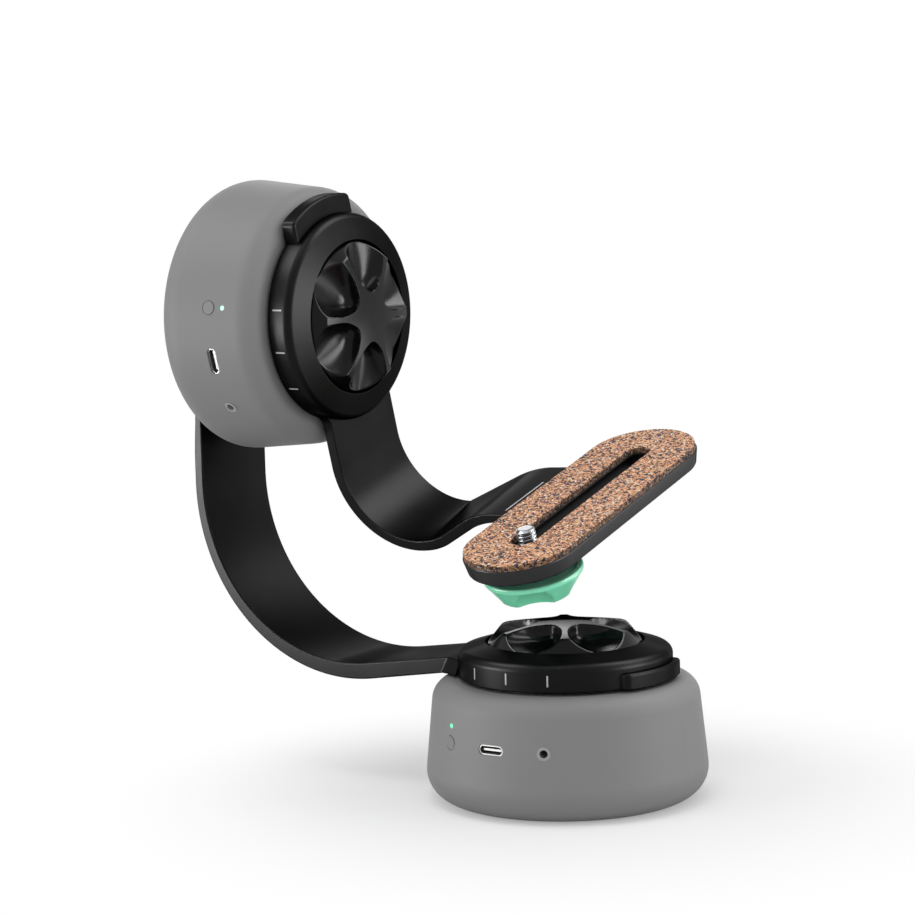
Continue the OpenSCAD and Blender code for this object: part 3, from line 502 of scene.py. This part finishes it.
def cork_granulate():
    """Cork and rubber granules, pressed and cut: tan grains, some pale, with dark rubber between them."""
    colour, granule = colours().cork, sizes().granule
    wander, cells, seam_share, seam_depth = 0.45 * granule, 0.75 / granule, 0.10, 0.12 * MM
    edge_from, edge_to, shaded_edge_keep = 0.35, 0.8, 0.3
    material, tree, shader, place = start_finish("pressed cork and rubber granulate")
    warp = add(tree, "ShaderNodeTexNoise", {"Scale": 1 / granule, "Detail": 2}, {"Vector": place})
    bend = add(tree, "ShaderNodeVectorMath", {"Scale": wander}, {"Vector": warp.outputs["Color"]},
               operation="SCALE")
    bent = add(tree, "ShaderNodeVectorMath", links={0: place, 1: bend.outputs["Vector"]}, operation="ADD")
    grains = add(tree, "ShaderNodeTexVoronoi", {"Scale": cells}, {"Vector": bent.outputs["Vector"]})
    pick = add(tree, "ShaderNodeSeparateColor", links={"Color": grains.outputs["Color"]})
    tone = add(tree, "ShaderNodeValToRGB", links={"Fac": pick.outputs["Red"]})
    ramp = tone.color_ramp
    ramp.interpolation = "CONSTANT"
    ramp.elements[0].position, ramp.elements[0].color = 0.0, rgba(linear("#1d1a28"))
    ramp.elements[1].position, ramp.elements[1].color = 0.13, rgba(linear("#4b4356"))
    for at, shade in ((0.24, rgba(colour, 0.4)), (0.35, rgba(colour, 0.75)), (0.51, rgba(colour, 1.1)),
                      (0.74, rgba(colour, 1.5)), (0.91, rgba(linear("#ffe9d6")))):
        ramp.elements.new(at).color = shade
    edges = add(tree, "ShaderNodeTexVoronoi", {"Scale": cells}, {"Vector": bent.outputs["Vector"]},
                feature="DISTANCE_TO_EDGE")
    seam = add(tree, "ShaderNodeMapRange", {"From Max": seam_share}, {"Value": edges.outputs["Distance"]})
    shade = add(tree, "ShaderNodeMix", {"A": rgba(linear("#2b2230"))},
                {"Factor": seam.outputs["Result"], "B": tone.outputs["Color"]}, data_type="RGBA")
    bump = add(tree, "ShaderNodeBump", {"Strength": 1, "Distance": seam_depth},
               {"Height": seam.outputs["Result"]})
    # Painted shade: the cut side edges, which don't face the way the plate's top does, are made darker
    outward = add(tree, "ShaderNodeTexCoord").outputs["Normal"]
    level = add(tree, "ShaderNodeVectorMath", {1: AT_PLATE.col[2][:3]}, {0: outward},
                operation="DOT_PRODUCT")
    face = add(tree, "ShaderNodeMapRange",
               {"From Min": edge_from, "From Max": edge_to, "To Min": shaded_edge_keep},
               {"Value": level.outputs["Value"]})
    cut = add(tree, "ShaderNodeMix", {"A": rgba(linear("#1d1512"))},
              {"Factor": face.outputs["Result"], "B": shade.outputs["Result"]}, data_type="RGBA")
    wire(tree, shader, {"Roughness": 0.85, "Specular IOR Level": 0.25},
         {"Base Color": cut.outputs["Result"], "Normal": bump.outputs["Normal"]})
    return material


def light_pipe():
    """Moulded acrylic light pipe, lit green from behind: a small even glow."""
    cloud_mm = 0.8
    material, tree, shader, place = start_finish("lit acrylic light pipe")
    cloud = add(tree, "ShaderNodeTexNoise", {"Scale": per_mm(cloud_mm)}, {"Vector": place})
    tone = add(tree, "ShaderNodeValToRGB", links={"Fac": cloud.outputs["Fac"]})
    tone.color_ramp.elements[0].color = rgba(linear("#3fd09c"))
    tone.color_ramp.elements[1].color = rgba(linear("#8ff0cb"))
    wire(tree, shader, {"Emission Strength": 0.6, "Roughness": 0.2},
         {"Base Color": tone.outputs["Color"], "Emission Color": tone.outputs["Color"]})
    return material


# What the making of each finish gives the eye
MAKE = {
    # Spark-eroded tool: an even grey that spreads every highlight
    "shell": lambda: moulded(
        "moulded grey ABS shell", colours().shell,
        roughness=0.62, pebble_mm=0.5, depth_mm=0.012, spread=0.03, gloss_level=0.16),
    # Plain tool: nearly black with a dull sheen
    "dark_plastic": lambda: moulded(
        "moulded dark nylon", linear("#2a2a2b"),
        roughness=0.5, pebble_mm=0.5, depth_mm=0.01, spread=0.06),
    # Plain tool: grey like the shell, but smoother, so its edge catches light
    "jack_plastic": lambda: moulded(
        "moulded grey nylon", linear("#8c8c8c"),
        roughness=0.45, pebble_mm=0.5, depth_mm=0.008, spread=0.04),
    # Cured in its mould: black, a little cloudy, without gloss
    "rubber": lambda: moulded(
        "moulded black rubber", linear("#161616"),
        roughness=0.8, pebble_mm=0.6, depth_mm=0.02, spread=0.08),
    # Polished tool: cream and slightly waxy
    "gear": lambda: moulded(
        "moulded acetal gear stock", linear("#e8e2d2"),
        roughness=0.35, pebble_mm=0.8, depth_mm=0.006, spread=0.03),
    # Shrunk film: blue with a soft shine and slow ripples
    "wrap": lambda: moulded(
        "shrunk PVC cell wrap", linear("#3a6ea5"),
        roughness=0.3, pebble_mm=2.0, depth_mm=0.01, spread=0.05),
    # Lacquered laminate: deep green with a satin shine
    "board": lambda: moulded(
        "solder masked circuit laminate", linear("#1c5a38"),
        roughness=0.4, pebble_mm=0.7, depth_mm=0.01, spread=0.1),
    # Polished tool: deep black, glossy seen from the front and flat at a slant
    "knob": lambda: moulded(
        "moulded black nylon, polished tool", colours().knobs,
        roughness=0.23, pebble_mm=0.6, depth_mm=0.003, spread=0.1, gloss_level=0.13, slant_gloss=0.0),
    # Polished tool: clear pale green with small soft highlights on its edges
    "mint": lambda: moulded(
        "moulded mint ABS, polished tool", colours().screw_knob,
        roughness=0.3, pebble_mm=0.7, depth_mm=0.004, spread=0.03),
    # Printed ink: flat pale lines
    "ink": lambda: moulded(
        "white pad print", linear("#a8a8a8"),
        roughness=0.5, pebble_mm=0.3, depth_mm=0.004, spread=0.03),
    # Black dye over a blasted grain: nearly black faces, soft silver bands along bends and edges
    "arms": lambda: anodised_metal(
        "black anodised aluminium, blasted", colours().arms,
        roughness=0.38, grain_mm=0.45, depth_mm=0.005, edge_tint=0.45),
    # Grey dye over a blasted grain: dark grey sides with an even sheen
    "plate": lambda: anodised_metal(
        "grey anodised aluminium, blasted", colours().plate,
        roughness=0.4, grain_mm=0.4, depth_mm=0.005, edge_tint=0.6),
    # Turned: pale and bright
    "alloy": lambda: bare_metal("turned aluminium", linear("#c9cacc"), roughness=0.3, line_mm=0.4),
    # Zinc plated: bright and a little warm
    "steel": lambda: bare_metal("zinc plated steel", linear("#c4c4c2"), roughness=0.28, line_mm=0.4),
    # Deep drawn and nickel plated: a grey rim with a blurred shine
    "port": lambda: bare_metal("drawn nickel plated shell", linear("#a0a09f"), roughness=0.45, line_mm=0.3),
    # Rolled and chromed: bright crests over grooves darkened by painted shade
    "chrome": lambda: bare_metal(
        "chromed steel thread", linear("#85878a"),
        roughness=0.27, line_mm=0.3, groove_shade=0.04),
    # Turned: yellow and bright
    "brass": lambda: bare_metal("turned brass", linear("#c9a24f"), roughness=0.25, line_mm=0.4),
    # Pressed and cut: speckled tan, with painted shade on its side edges
    "cork": cork_granulate,
    # Lit from behind: a small green glow
    "light": light_pipe,
}
FINISHES = {}


def finish(name):
    """The finish of this name, made when it is first asked for."""
    if name not in FINISHES:
        FINISHES[name] = MAKE[name]()
    return FINISHES[name]


# Operators


class BRACKET_OT_heads(bpy.types.Operator):
    """Finishes of the two motion heads and everything inside them, and of the small fixings"""

    bl_idname = "bracket.heads"
    bl_label = "Heads"

    def execute(self, context):
        slots = {
            "shell": ("housing", "power_button"),
            "dark_plastic": ("base_plate",),
            "jack_plastic": ("trigger_jack",),
            "rubber": ("base_pad", "hub_pad"),
            "brass": ("tripod_insert", "pinion"),
            "steel": ("base_screws", "motor", "bearing", "knob_stud", "knob_washer"),
            "gear": ("output_gear",),
            "wrap": ("battery",),
            "board": ("circuit_board",),
            "port": ("usb_port",),
            "light": ("status_light",),
            "alloy": ("turntable",),
        }
        for name, pieces in slots.items():
            dress([f"{head}_{piece}" for head in ("pan", "tilt") for piece in pieces], finish(name))
        dress(["tilt_mount_pad"], finish("rubber"))
        dress(["tilt_mount_screw", "tilt_mount_washer", "plate_screws"], finish("steel"))
        dress(["screw_bush"], finish("dark_plastic"))
        dress(["pan_index_ticks", "tilt_index_ticks"], finish("ink"))
        return {"FINISHED"}


class BRACKET_OT_lower_arm(bpy.types.Operator):
    """Pan hub with its tab and the strap that bends up to the tilt head"""

    bl_idname = "bracket.lower_arm"
    bl_label = "Lower arm"

    def execute(self, context):
        s = sizes()
        outer, inner = self.side_view()
        middle = (outer + inner) / 2
        half, top, least, bend_z = ARM_W / 2, TILT_AXIS_Z, 0.4, 60
        width = np.full(len(middle), half)
        high = middle[:, 1] > top
        width[high] = np.sqrt(np.maximum(half ** 2 - (middle[high, 1] - top) ** 2, least))
        width += flare(middle[:, 0], s.hub_fillet / MM) * (middle[:, 1] < bend_z)
        part = join(
            moved(hub_ring(), HEAD_H),
            moved(tab_block(PAN_TAB_R, s.tab_edge / MM, s.tab_corner / MM), HEAD_H),
            strap((outer, inner), (outer, inner), (width, width), s.strap_edge / MM),
        )
        set_piece("lower_arm_casting", part, AT_PAN, finish("arms"), "pan_frame", "lower_arm")
        return {"FINISHED"}

    @staticmethod
    def side_view():
        """Faces of the strap, (across, up): the round top, the upright, the bend and the run to the hub."""
        out_x, in_x, top = -138.1, -135.5, TILT_AXIS_Z
        out_c, out_r = np.array([-75.7, 98.0]), 63.3
        in_c, in_r = np.array([-77.1, 98.4]), 58.4
        # Between these heights the outer face leans out until it meets the bend
        lean, lean_from, lean_to = out_x - (out_c[0] - out_r), 124.0, 106.0
        # Under and over the hub's rim: the end of each straight run, and the last point inside the hub
        foot, foot_end = np.array([-37.0, 40.0]), (-29.0, 40.5)
        shoulder, shoulder_end = np.array([-34.0, 45.6]), (-27.0, 45.9)
        tip = np.cos(np.linspace(0.04, math.pi / 2, 24)) * ARM_W / 2
        up = np.concatenate([top + tip, np.linspace(top, out_c[1], 12)[1:-1]])
        t = np.clip((lean_from - up) / (lean_from - lean_to), 0, 1)
        outer = list(zip(out_x - lean * t * t * (3 - 2 * t), up))
        inner = [(in_x, z) for z in up]
        outer += arc(out_c, out_r, -180, touch(foot, out_c, out_r), 70).tolist()
        inner += arc(in_c, in_r, -180, touch(shoulder, in_c, in_r), 70).tolist()
        run = np.linspace(0, 1, 30)[1:, None]
        outer += (np.array(outer[-1]) + (foot - outer[-1]) * run).tolist() + [foot_end]
        inner += (np.array(inner[-1]) + (shoulder - inner[-1]) * run).tolist() + [shoulder_end]
        return np.array(outer), np.array(inner)


class BRACKET_OT_camera_arm(bpy.types.Operator):
    """Tilt hub with its tab and the strap that bends forward to the camera plate"""

    bl_idname = "bracket.camera_arm"
    bl_label = "Camera arm"

    def execute(self, context):
        s = sizes()
        near_edge = self.side_view(rise=31.0, turn_out=29.2, turn_in=25.0)
        far_edge = self.side_view(rise=25.5, turn_out=4.0, turn_in=1.0)
        down, along = near_edge[0][:, 0], near_edge[0][:, 1]
        # How much wider each edge of the tongue gets, from where and over what length
        near_extra, near_from, near_run = 2.2, 34, 26
        far_extra, far_from, far_run = 4.2, 56, 16
        hub_h = 6
        hub_flare = flare(down, s.hub_fillet / MM) * (along < hub_h)
        near_wide = ARM_W / 2 + hub_flare + near_extra * np.clip((along - near_from) / near_run, 0, 1)
        far_wide = ARM_W / 2 + hub_flare + far_extra * np.clip((along - far_from) / far_run, 0, 1)
        part = join(
            moved(hub_ring(), HEAD_H),
            moved(tab_block(TILT_TAB_R, s.tab_edge / MM, s.tab_corner / MM), HEAD_H, turn=180),
            moved(strap(near_edge, far_edge, (near_wide, far_wide), s.strap_edge / MM), HEAD_H),
        )
        set_piece("camera_arm_casting", part, AT_TILT, finish("arms"), "tilt_frame",
                  "camera_arm")
        return {"FINISHED"}

    @staticmethod
    def side_view(rise, turn_out, turn_in):
        """Faces of the arm along one edge, (down, along): bend, turn into the rise, rise and tongue."""
        out_c, out_r = np.array([48.2, 29.8]), 29.2
        in_c, in_r = np.array([48.7, 29.5]), 25.0
        start_d, out_u, in_u, edge_u = 28.0, 0.6, 4.5, 72.0
        end_r, thick, line_proud = 24.0, 3.2, 0.03
        flat_d = PLATE_DROP + CORK_T + thick
        c, n, t = (f(math.radians(rise)) for f in (math.cos, math.sin, math.tan))
        outer = [(x, out_u) for x in np.linspace(start_d, out_c[0], 16)]
        inner = [(x, in_u) for x in np.linspace(start_d, in_c[0], 16)]
        sides = ((outer, out_c, out_r, turn_out, flat_d, end_r),
                 (inner, in_c, in_r, turn_in, flat_d - thick + line_proud, end_r + thick))
        faces = []
        for face, centre, r, turn_r, d, sweep in sides:
            face += arc(centre, r, -90, 0, 40)[1:].tolist()
            turn_c = centre + [r - turn_r, 0]
            face += arc(turn_c, turn_r, 0, rise, 14)[1:].tolist()
            low = turn_c + turn_r * np.array([c, n])
            end_c = np.array([d + sweep, low[1] + (low[0] - d - sweep * (1 - c)) / t + sweep * n])
            face += arc(end_c, sweep, 180 + rise, 180, 14).tolist()
            face += [(d, u) for u in np.linspace(end_c[1], edge_u, 10)[1:]]
            faces.append(np.array(face))
        return faces


class BRACKET_OT_clamp_knobs(bpy.types.Operator):
    """Clamp knobs in the hubs, with six finger scoops each"""

    bl_idname = "bracket.clamp_knobs"
    bl_label = "Clamp knobs"

    def execute(self, context):
        soft = sizes().knob_edge / MM
        for name, place, turn in (("pan", AT_PAN, 3.0), ("tilt", AT_TILT, 14.0)):
            part = moved(self.star(soft), HEAD_H, turn)
            set_piece(f"{name}_clamp_star", part, place, finish("knob"), f"{name}_clamp",
                      f"{name}_knob", sharp=85)
        return {"FINISHED"}

    @staticmethod
    def star(soft):
        """Upper surface of a knob as heights over a net whose lines follow the scoops' lips."""
        # The knob without scoops: a crown that falls to a rounded corner and a sloping side
        rim_r, edge_r, top_h, fall, corner = 25.2, 22.8, 17.5, 2.4, 1.2
        foot_h, bottom = HUB_H - 1, 5.4
        # A scoop: its inner end, the ridge to the next one, the roundness of its lip, and its floor
        scoops, inner_r, end_r, ridge_w, egg = 6, 8.3, 6.0, 1.7, 2.2
        floor_h, floor_fall = 11.3, 0.12
        # How steep a scoop's wall is at its sides, how much more at its inner end and less at the rim
        side_steep, end_steep, rim_ease, over_lip = 2.5, 1.2, 0.95, 8
        half_turn = math.pi / scoops
        scoop_at = inner_r + end_r

        # Rings of the net, closer together near the inner lip and the rim
        dense_r = 21.5
        lip = np.cos(np.radians(np.arange(0, 90, 5)))
        radius = np.concatenate([np.linspace(0.02, inner_r - 1.1, 8), inner_r - np.array([0.6, 0.3, 0.15]),
                                 scoop_at - end_r * lip, np.linspace(scoop_at, dense_r, 16),
                                 np.linspace(dense_r, rim_r, 21)[1:]])[:, None]
        open_at = half_turn - np.arcsin(np.minimum(ridge_w / 2 / radius, 0.45))
        deep = np.clip((scoop_at - radius) / end_r, 0, 1)
        lip_at = np.maximum(open_at * (1 - deep ** egg) ** (1 / egg), math.radians(5))
        lip_at = np.minimum(lip_at, half_turn - 0.004)
        share = np.linspace(0, 1, 17) ** 1.8
        ridge = np.linspace(0, 1, 6)[1:] ** 1.4
        off = np.concatenate([lip_at * (1 - share[::-1]), lip_at + (half_turn - lip_at) * ridge], 1)

        def lower(p, q, soft):
            """The lower of two surfaces, with a soft edge where they meet."""
            h = np.clip(0.5 + 0.5 * (q - p) / soft, 0, 1)
            return q + (p - q) * h - soft * h * (1 - h)

        crown = top_h - fall * (radius / edge_r) ** 2
        side = foot_h + (rim_r - radius) * (top_h - fall - foot_h) / (rim_r - edge_r)
        inward = np.maximum(scoop_at - radius * np.cos(off), 0) / end_r
        across = off / np.maximum(open_at, 0.02)
        reach = (inward ** egg + across ** egg) ** (1 / egg)
        steep = side_steep + end_steep * inward ** egg / np.maximum(reach ** egg, 1e-6)
        steep = steep - rim_ease * np.clip((radius - scoop_at) / (rim_r - scoop_at), 0, 1)
        bowl = 1 - (1 - np.minimum(reach, 1) ** steep) ** (1 / steep) + np.maximum(reach - 1, 0) * over_lip
        floor = floor_h + floor_fall * (scoop_at - radius)
        height = lower(lower(crown, side, corner), floor + (top_h - floor) * bowl, soft)

        loops = []
        for r, angles, z in zip(radius[:, 0], off, height):
            halves = np.concatenate([-angles[:0:-1], angles[:-1]])
            levels = np.concatenate([z[:0:-1], z[:-1]])
            a = np.concatenate([halves + math.radians(30 + 60 * k) for k in range(scoops)])
            loops.append(np.column_stack([r * np.cos(a), r * np.sin(a), np.tile(levels, scoops)]))
        wall, foot = loops[-1].copy(), loops[-1] * 0.5
        wall[:, 2] = foot[:, 2] = bottom
        return skin([*loops, wall, foot])


class BRACKET_OT_camera_plate(bpy.types.Operator):
    """Slotted camera plate and the cork pad on it"""

    bl_idname = "bracket.camera_plate"
    bl_label = "Camera plate"

    def execute(self, context):
        taper = sizes().plate_taper / MM
        top, bottom, shade_lining = -CORK_T, -CORK_T - PLATE_T, 0.6
        # Edges as (inset, height): the plate's outside, then its slot's walls, black as painted shade
        outside = [(0.5, top), (0.15, top - 0.1), (0, top - 0.4), (taper * 0.9, bottom + 0.6),
                   (taper + 0.2, bottom + 0.15), (taper + 0.6, bottom)]
        inside = [(-shade_lining, top), (-shade_lining, bottom), (-0.3, bottom), (0, bottom + 0.4), (0, top - 0.4),
                  (-0.3, top)]
        bar = [stadium(PLATE_L, PLATE_W, d, z) for d, z in outside]
        bar += [stadium(SLOT_L, SLOT_W, -shade_lining, z) for z in (bottom, top)]
        slot = [stadium(SLOT_L, SLOT_W, d, z) for d, z in inside]
        set_piece("camera_plate_bar", skin(bar, closed=True), AT_PLATE, finish("plate"), "tilt_frame",
                  "camera_plate")
        # Painted shade: the slot's walls take the black finish of the arms in place of the plate's grey
        set_piece("camera_plate_shaded_slot", skin(slot, closed=True), AT_PLATE, finish("arms"), "tilt_frame",
                  "camera_plate")
        set_piece("cork_sheet", self.cork(), AT_PLATE, finish("cork"), "tilt_frame", "cork_pad")
        return {"FINISHED"}

    @staticmethod
    def cork():
        """Cork pad with a slot, its edges chipped where granules broke away."""
        rng = np.random.default_rng(7)
        chip, together, flat_share, ends, sides = 0.07, 1.7, 0.25, 120, 150
        length, width = PLATE_L - 2 * CORK_INSET, PLATE_W - 2 * CORK_INSET
        slot_l = SLOT_L + CORK_SLOT_W - SLOT_W
        rim = ((0.02, -CORK_T), (0.06, -1.3), (0.04, -0.6), (0.1, -0.22), (0.45, 0))
        slot = ((-0.4, 0), (-0.1, -0.25), (-0.04, -1.0), (0, -CORK_T))
        loops = [stadium(length, width, d, z, ends, sides) for d, z in rim]
        loops += [stadium(slot_l, CORK_SLOT_W, d, z, ends, sides) for d, z in slot]
        loops = np.array(loops)
        chips = rng.normal(0, chip, loops.shape[:2])
        chips = (chips + np.roll(chips, 1, 1) + np.roll(chips, 2, 1)) / together
        # The loops that bound the top and the underside stay nearly whole
        chips[[0, len(rim) - 1, len(rim), len(loops) - 1]] *= flat_share
        normal = np.roll(loops, -1, 1) - np.roll(loops, 1, 1)
        normal = np.stack([normal[..., 1], -normal[..., 0]], 2)
        normal /= np.linalg.norm(normal, axis=2, keepdims=True)
        inward = np.where(np.arange(len(loops)) < len(rim), -1.0, 1.0)[:, None, None]
        loops[..., :2] += normal * inward * np.abs(chips)[..., None]
        return skin(loops, closed=True)


class BRACKET_OT_camera_screw(bpy.types.Operator):
    """Camera screw with its thread, and the moulded knob that turns it"""

    bl_idname = "bracket.camera_screw"
    bl_label = "Camera screw"

    def execute(self, context):
        set_piece("camera_screw_thread", self.thread(sizes().thread_pitch / MM), AT_SCREW, finish("chrome"),
                  "screw_and_knob", "camera_screw", sharp=80)
        set_piece("camera_screw_grip", self.grip(), AT_SCREW, finish("mint"), "screw_and_knob",
                  "camera_knob", sharp=50)
        return {"FINISHED"}

    @staticmethod
    def thread(pitch):
        """Helical thread with rounded crests, a domed tip, and the plain shank below it."""
        crest, root, tip_r = 3.175, 2.48, 1.7
        foot, shank, start, neck, tip = -15.0, -2.0, -1.9, 2.1, 3.0
        height = np.concatenate([np.linspace(foot, shank, 6), np.linspace(start, neck, 60),
                                 neck + (tip - neck) * np.sin(np.linspace(0.08, math.pi / 2, 14))])
        angle = np.linspace(0, 2 * math.pi, 96, endpoint=False)
        z, a = np.meshgrid(height, angle, indexing="ij")
        wave = 0.5 + 0.5 * np.cos(2 * math.pi * (z / pitch - a / (2 * math.pi)))
        r = np.where(z < shank, root, root + (crest - root) * wave)
        round_off = np.sqrt(np.clip(1 - ((z - neck) / (tip - neck)) ** 2, 0, 1))
        r = np.where(z > neck, np.minimum(r, tip_r + (crest - tip_r) * round_off), r)
        return skin(np.stack([r * np.cos(a), r * np.sin(a), z], 2))

    @staticmethod
    def grip():
        """Dished knob that narrows to its foot, with four ball hollows for the fingers."""
        h, top_r, foot_r, dish_r, bead_r, rim_edge = 8.2, 16.3, 12.5, 6.0, 0.9, 0.6
        hollow_r, hollow_at, hollow_z, first_hollow, soft = 9.2, 17.2, -2.4, 120, 0.5
        foot = [(foot_r - 1.4, 0), (foot_r - 0.6, 0.12), (foot_r - 0.15, 0.5)]
        cone = [(foot_r + (top_r - 1 - foot_r) * t, 1 + (h - 3.8) * t) for t in np.linspace(0, 1, 70)]
        bead = arc((top_r - bead_r, h - 1.2), bead_r, -40, 0, 8)
        rim = arc((top_r - rim_edge, h - rim_edge), rim_edge, 0, 90, 8)
        dish = [(top_r - 1.6, h), (top_r - 1.9, h - 0.2), (top_r - 2.2, h - 0.9), (dish_r, h - 1.1)]
        side = np.concatenate([foot, cone, bead, rim, dish])
        angle = np.linspace(0, 2 * math.pi, 288, endpoint=False)
        r = np.repeat(side[:, :1], len(angle), 1)
        z = np.repeat(side[:, 1:], len(angle), 1)
        for k in range(4):
            off = angle - math.radians(first_hollow + 90 * k)
            ball = np.sqrt(np.maximum(hollow_r ** 2 - (z - hollow_z) ** 2, 0))
            chord = ball ** 2 - (hollow_at * np.sin(off)) ** 2
            hit = (chord > 0) & (np.cos(off) > 0)
            near = hollow_at * np.cos(off) - np.sqrt(np.maximum(chord, 0))
            t = np.clip(0.5 + 0.5 * (near - r) / soft, 0, 1)
            r = np.where(hit, near + (r - near) * t - soft * t * (1 - t), r)
        r[-len(dish):] = side[-len(dish):, :1]
        top_z = PLATE_DROP - SCREW_KNOB_DROP
        return skin(np.stack([r * np.cos(angle), r * np.sin(angle), z + top_z - h], 2))


class BRACKET_OT_stage(bpy.types.Operator):
    """Pale floor, soft studio light, white surroundings and the camera"""

    bl_idname = "bracket.stage"
    bl_label = "Stage"

    def execute(self, context):
        context.scene.view_settings.view_transform = "Standard"
        self.set_floor(context.scene)
        self.set_surroundings(context.scene)
        self.set_lamps(context.scene)
        self.set_camera(context.scene)
        return {"FINISHED"}

    @staticmethod
    def set_floor(scene):
        """White paper that shows a soft shadow near the part and plain white farther out."""
        h = FLOOR_HALF
        mesh = bpy.data.meshes.new("floor")
        mesh.from_pydata([(-h, -h, 0), (h, -h, 0), (h, h, 0), (-h, h, 0)], [], [(0, 1, 2, 3)])
        floor = bpy.data.objects.new("floor", mesh)
        scene.collection.objects.link(floor)
        paper, tree, shader, place = start_finish("white studio paper")
        wire(tree, shader, {"Base Color": rgba(linear("#f2f2f2")), "Roughness": 0.9,
                            "Specular IOR Level": 0})
        seen = in_sight(tree)[0]
        away = add(tree, "ShaderNodeVectorMath", links={0: place}, operation="LENGTH")
        far = add(tree, "ShaderNodeMapRange",
                  {"From Min": SHADOW_FROM, "From Max": SHADOW_TO, "To Min": SHADOW_GLOW},
                  {"Value": away.outputs["Value"]}, interpolation_type="SMOOTHSTEP")
        share = add(tree, "ShaderNodeMath", links={0: seen, 1: far.outputs["Result"]}, operation="MULTIPLY")
        glow = add(tree, "ShaderNodeEmission", {"Color": (1, 1, 1, 1), "Strength": 1})
        both = add(tree, "ShaderNodeMixShader",
                   links={0: share.outputs[0], 1: shader.outputs[0], 2: glow.outputs[0]})
        wire(tree, tree.nodes["Material Output"], links={"Surface": both.outputs[0]})
        mesh.materials.append(paper)

    @staticmethod
    def set_surroundings(scene):
        """White wherever the camera or a reflection sees it, and a weaker fill on matt surfaces."""
        world = bpy.data.worlds.new("white studio")
        scene.world = world
        world.use_nodes = True
        tree = world.node_tree
        tree.nodes.clear()
        seen, rays = in_sight(tree)
        plain = add(tree, "ShaderNodeMath", links={0: seen, 1: rays["Is Transmission Ray"]},
                    operation="MAXIMUM")
        fill = add(tree, "ShaderNodeBackground", {"Color": (1, 1, 1, 1), "Strength": FILL_LIGHT})
        white = add(tree, "ShaderNodeBackground", {"Color": (1, 1, 1, 1), "Strength": 1})
        mix = add(tree, "ShaderNodeMixShader",
                  links={0: plain.outputs[0], 1: fill.outputs[0], 2: white.outputs[0]})
        add(tree, "ShaderNodeOutputWorld", links={"Surface": mix.outputs[0]})

    @staticmethod
    def set_lamps(scene):
        """Round lamps that the camera doesn't see, all turned to the part."""
        for name, at, size, power, matt in LAMPS:
            lamp = bpy.data.lights.new(name, "AREA")
            lamp.shape = "DISK"
            lamp.size = size
            lamp.energy = power
            holder = bpy.data.objects.new(name, lamp)
            holder.location = at
            holder.visible_diffuse = matt
            holder.visible_camera = False
            holder.rotation_euler = (LAMP_AIM - Vector(at)).to_track_quat("-Z", "Y").to_euler()
            scene.collection.objects.link(holder)

    @staticmethod
    def set_camera(scene):
        """The camera, with its place and lens fitted to the photograph."""
        az, el, roll = (math.radians(v) for v in (CAMERA_ROUND, CAMERA_ABOVE, CAMERA_LEAN))
        back = Vector((math.sin(az) * math.cos(el), -math.cos(az) * math.cos(el), math.sin(el)))
        right = Vector((math.cos(az), math.sin(az), 0))
        up = back.cross(right)
        axes = Matrix((math.cos(roll) * right + math.sin(roll) * up,
                       math.cos(roll) * up - math.sin(roll) * right, back)).transposed()
        lens = bpy.data.cameras.new("camera")
        lens.sensor_width = SENSOR_MM
        lens.lens = FOCAL_PX / PICTURE_PX * SENSOR_MM
        lens.clip_end = CAMERA_FAR
        camera = bpy.data.objects.new("camera", lens)
        camera.matrix_world = Matrix.Translation(CAMERA_AT) @ axes.to_4x4()
        scene.collection.objects.link(camera)
        scene.camera = camera


class BRACKET_PT_panel(bpy.types.Panel):
    """Lists the pieces and the values that change them"""

    bl_idname = "BRACKET_PT_panel"
    bl_label = "Pan tilt bracket"
    bl_space_type = "VIEW_3D"
    bl_region_type = "UI"
    bl_category = "Bracket"

    def draw(self, context):
        for group in (context.scene.bracket_sizes, context.scene.bracket_colours):
            for name in group.bl_rna.properties.keys():
                if name not in ("rna_type", "name"):
                    self.layout.prop(group, name)
        for operator in OPERATORS:
            self.layout.operator(operator.bl_idname)


OPERATORS = (BRACKET_OT_heads, BRACKET_OT_lower_arm, BRACKET_OT_camera_arm, BRACKET_OT_clamp_knobs,
             BRACKET_OT_camera_plate, BRACKET_OT_camera_screw, BRACKET_OT_stage)
CLASSES = (BracketSizes, BracketColours, *OPERATORS, BRACKET_PT_panel)


def register():
    for cls in CLASSES:
        bpy.utils.register_class(cls)
    bpy.types.Scene.bracket_sizes = bpy.props.PointerProperty(type=BracketSizes)
    bpy.types.Scene.bracket_colours = bpy.props.PointerProperty(type=BracketColours)


def unregister():
    del bpy.types.Scene.bracket_colours
    del bpy.types.Scene.bracket_sizes
    for cls in reversed(CLASSES):
        bpy.utils.unregister_class(cls)


def main():
    register()
    bpy.ops.bracket.heads()
    bpy.ops.bracket.lower_arm()
    bpy.ops.bracket.camera_arm()
    bpy.ops.bracket.clamp_knobs()
    bpy.ops.bracket.camera_plate()
    bpy.ops.bracket.camera_screw()
    bpy.ops.bracket.stage()


if __name__ == "__main__":
    main()
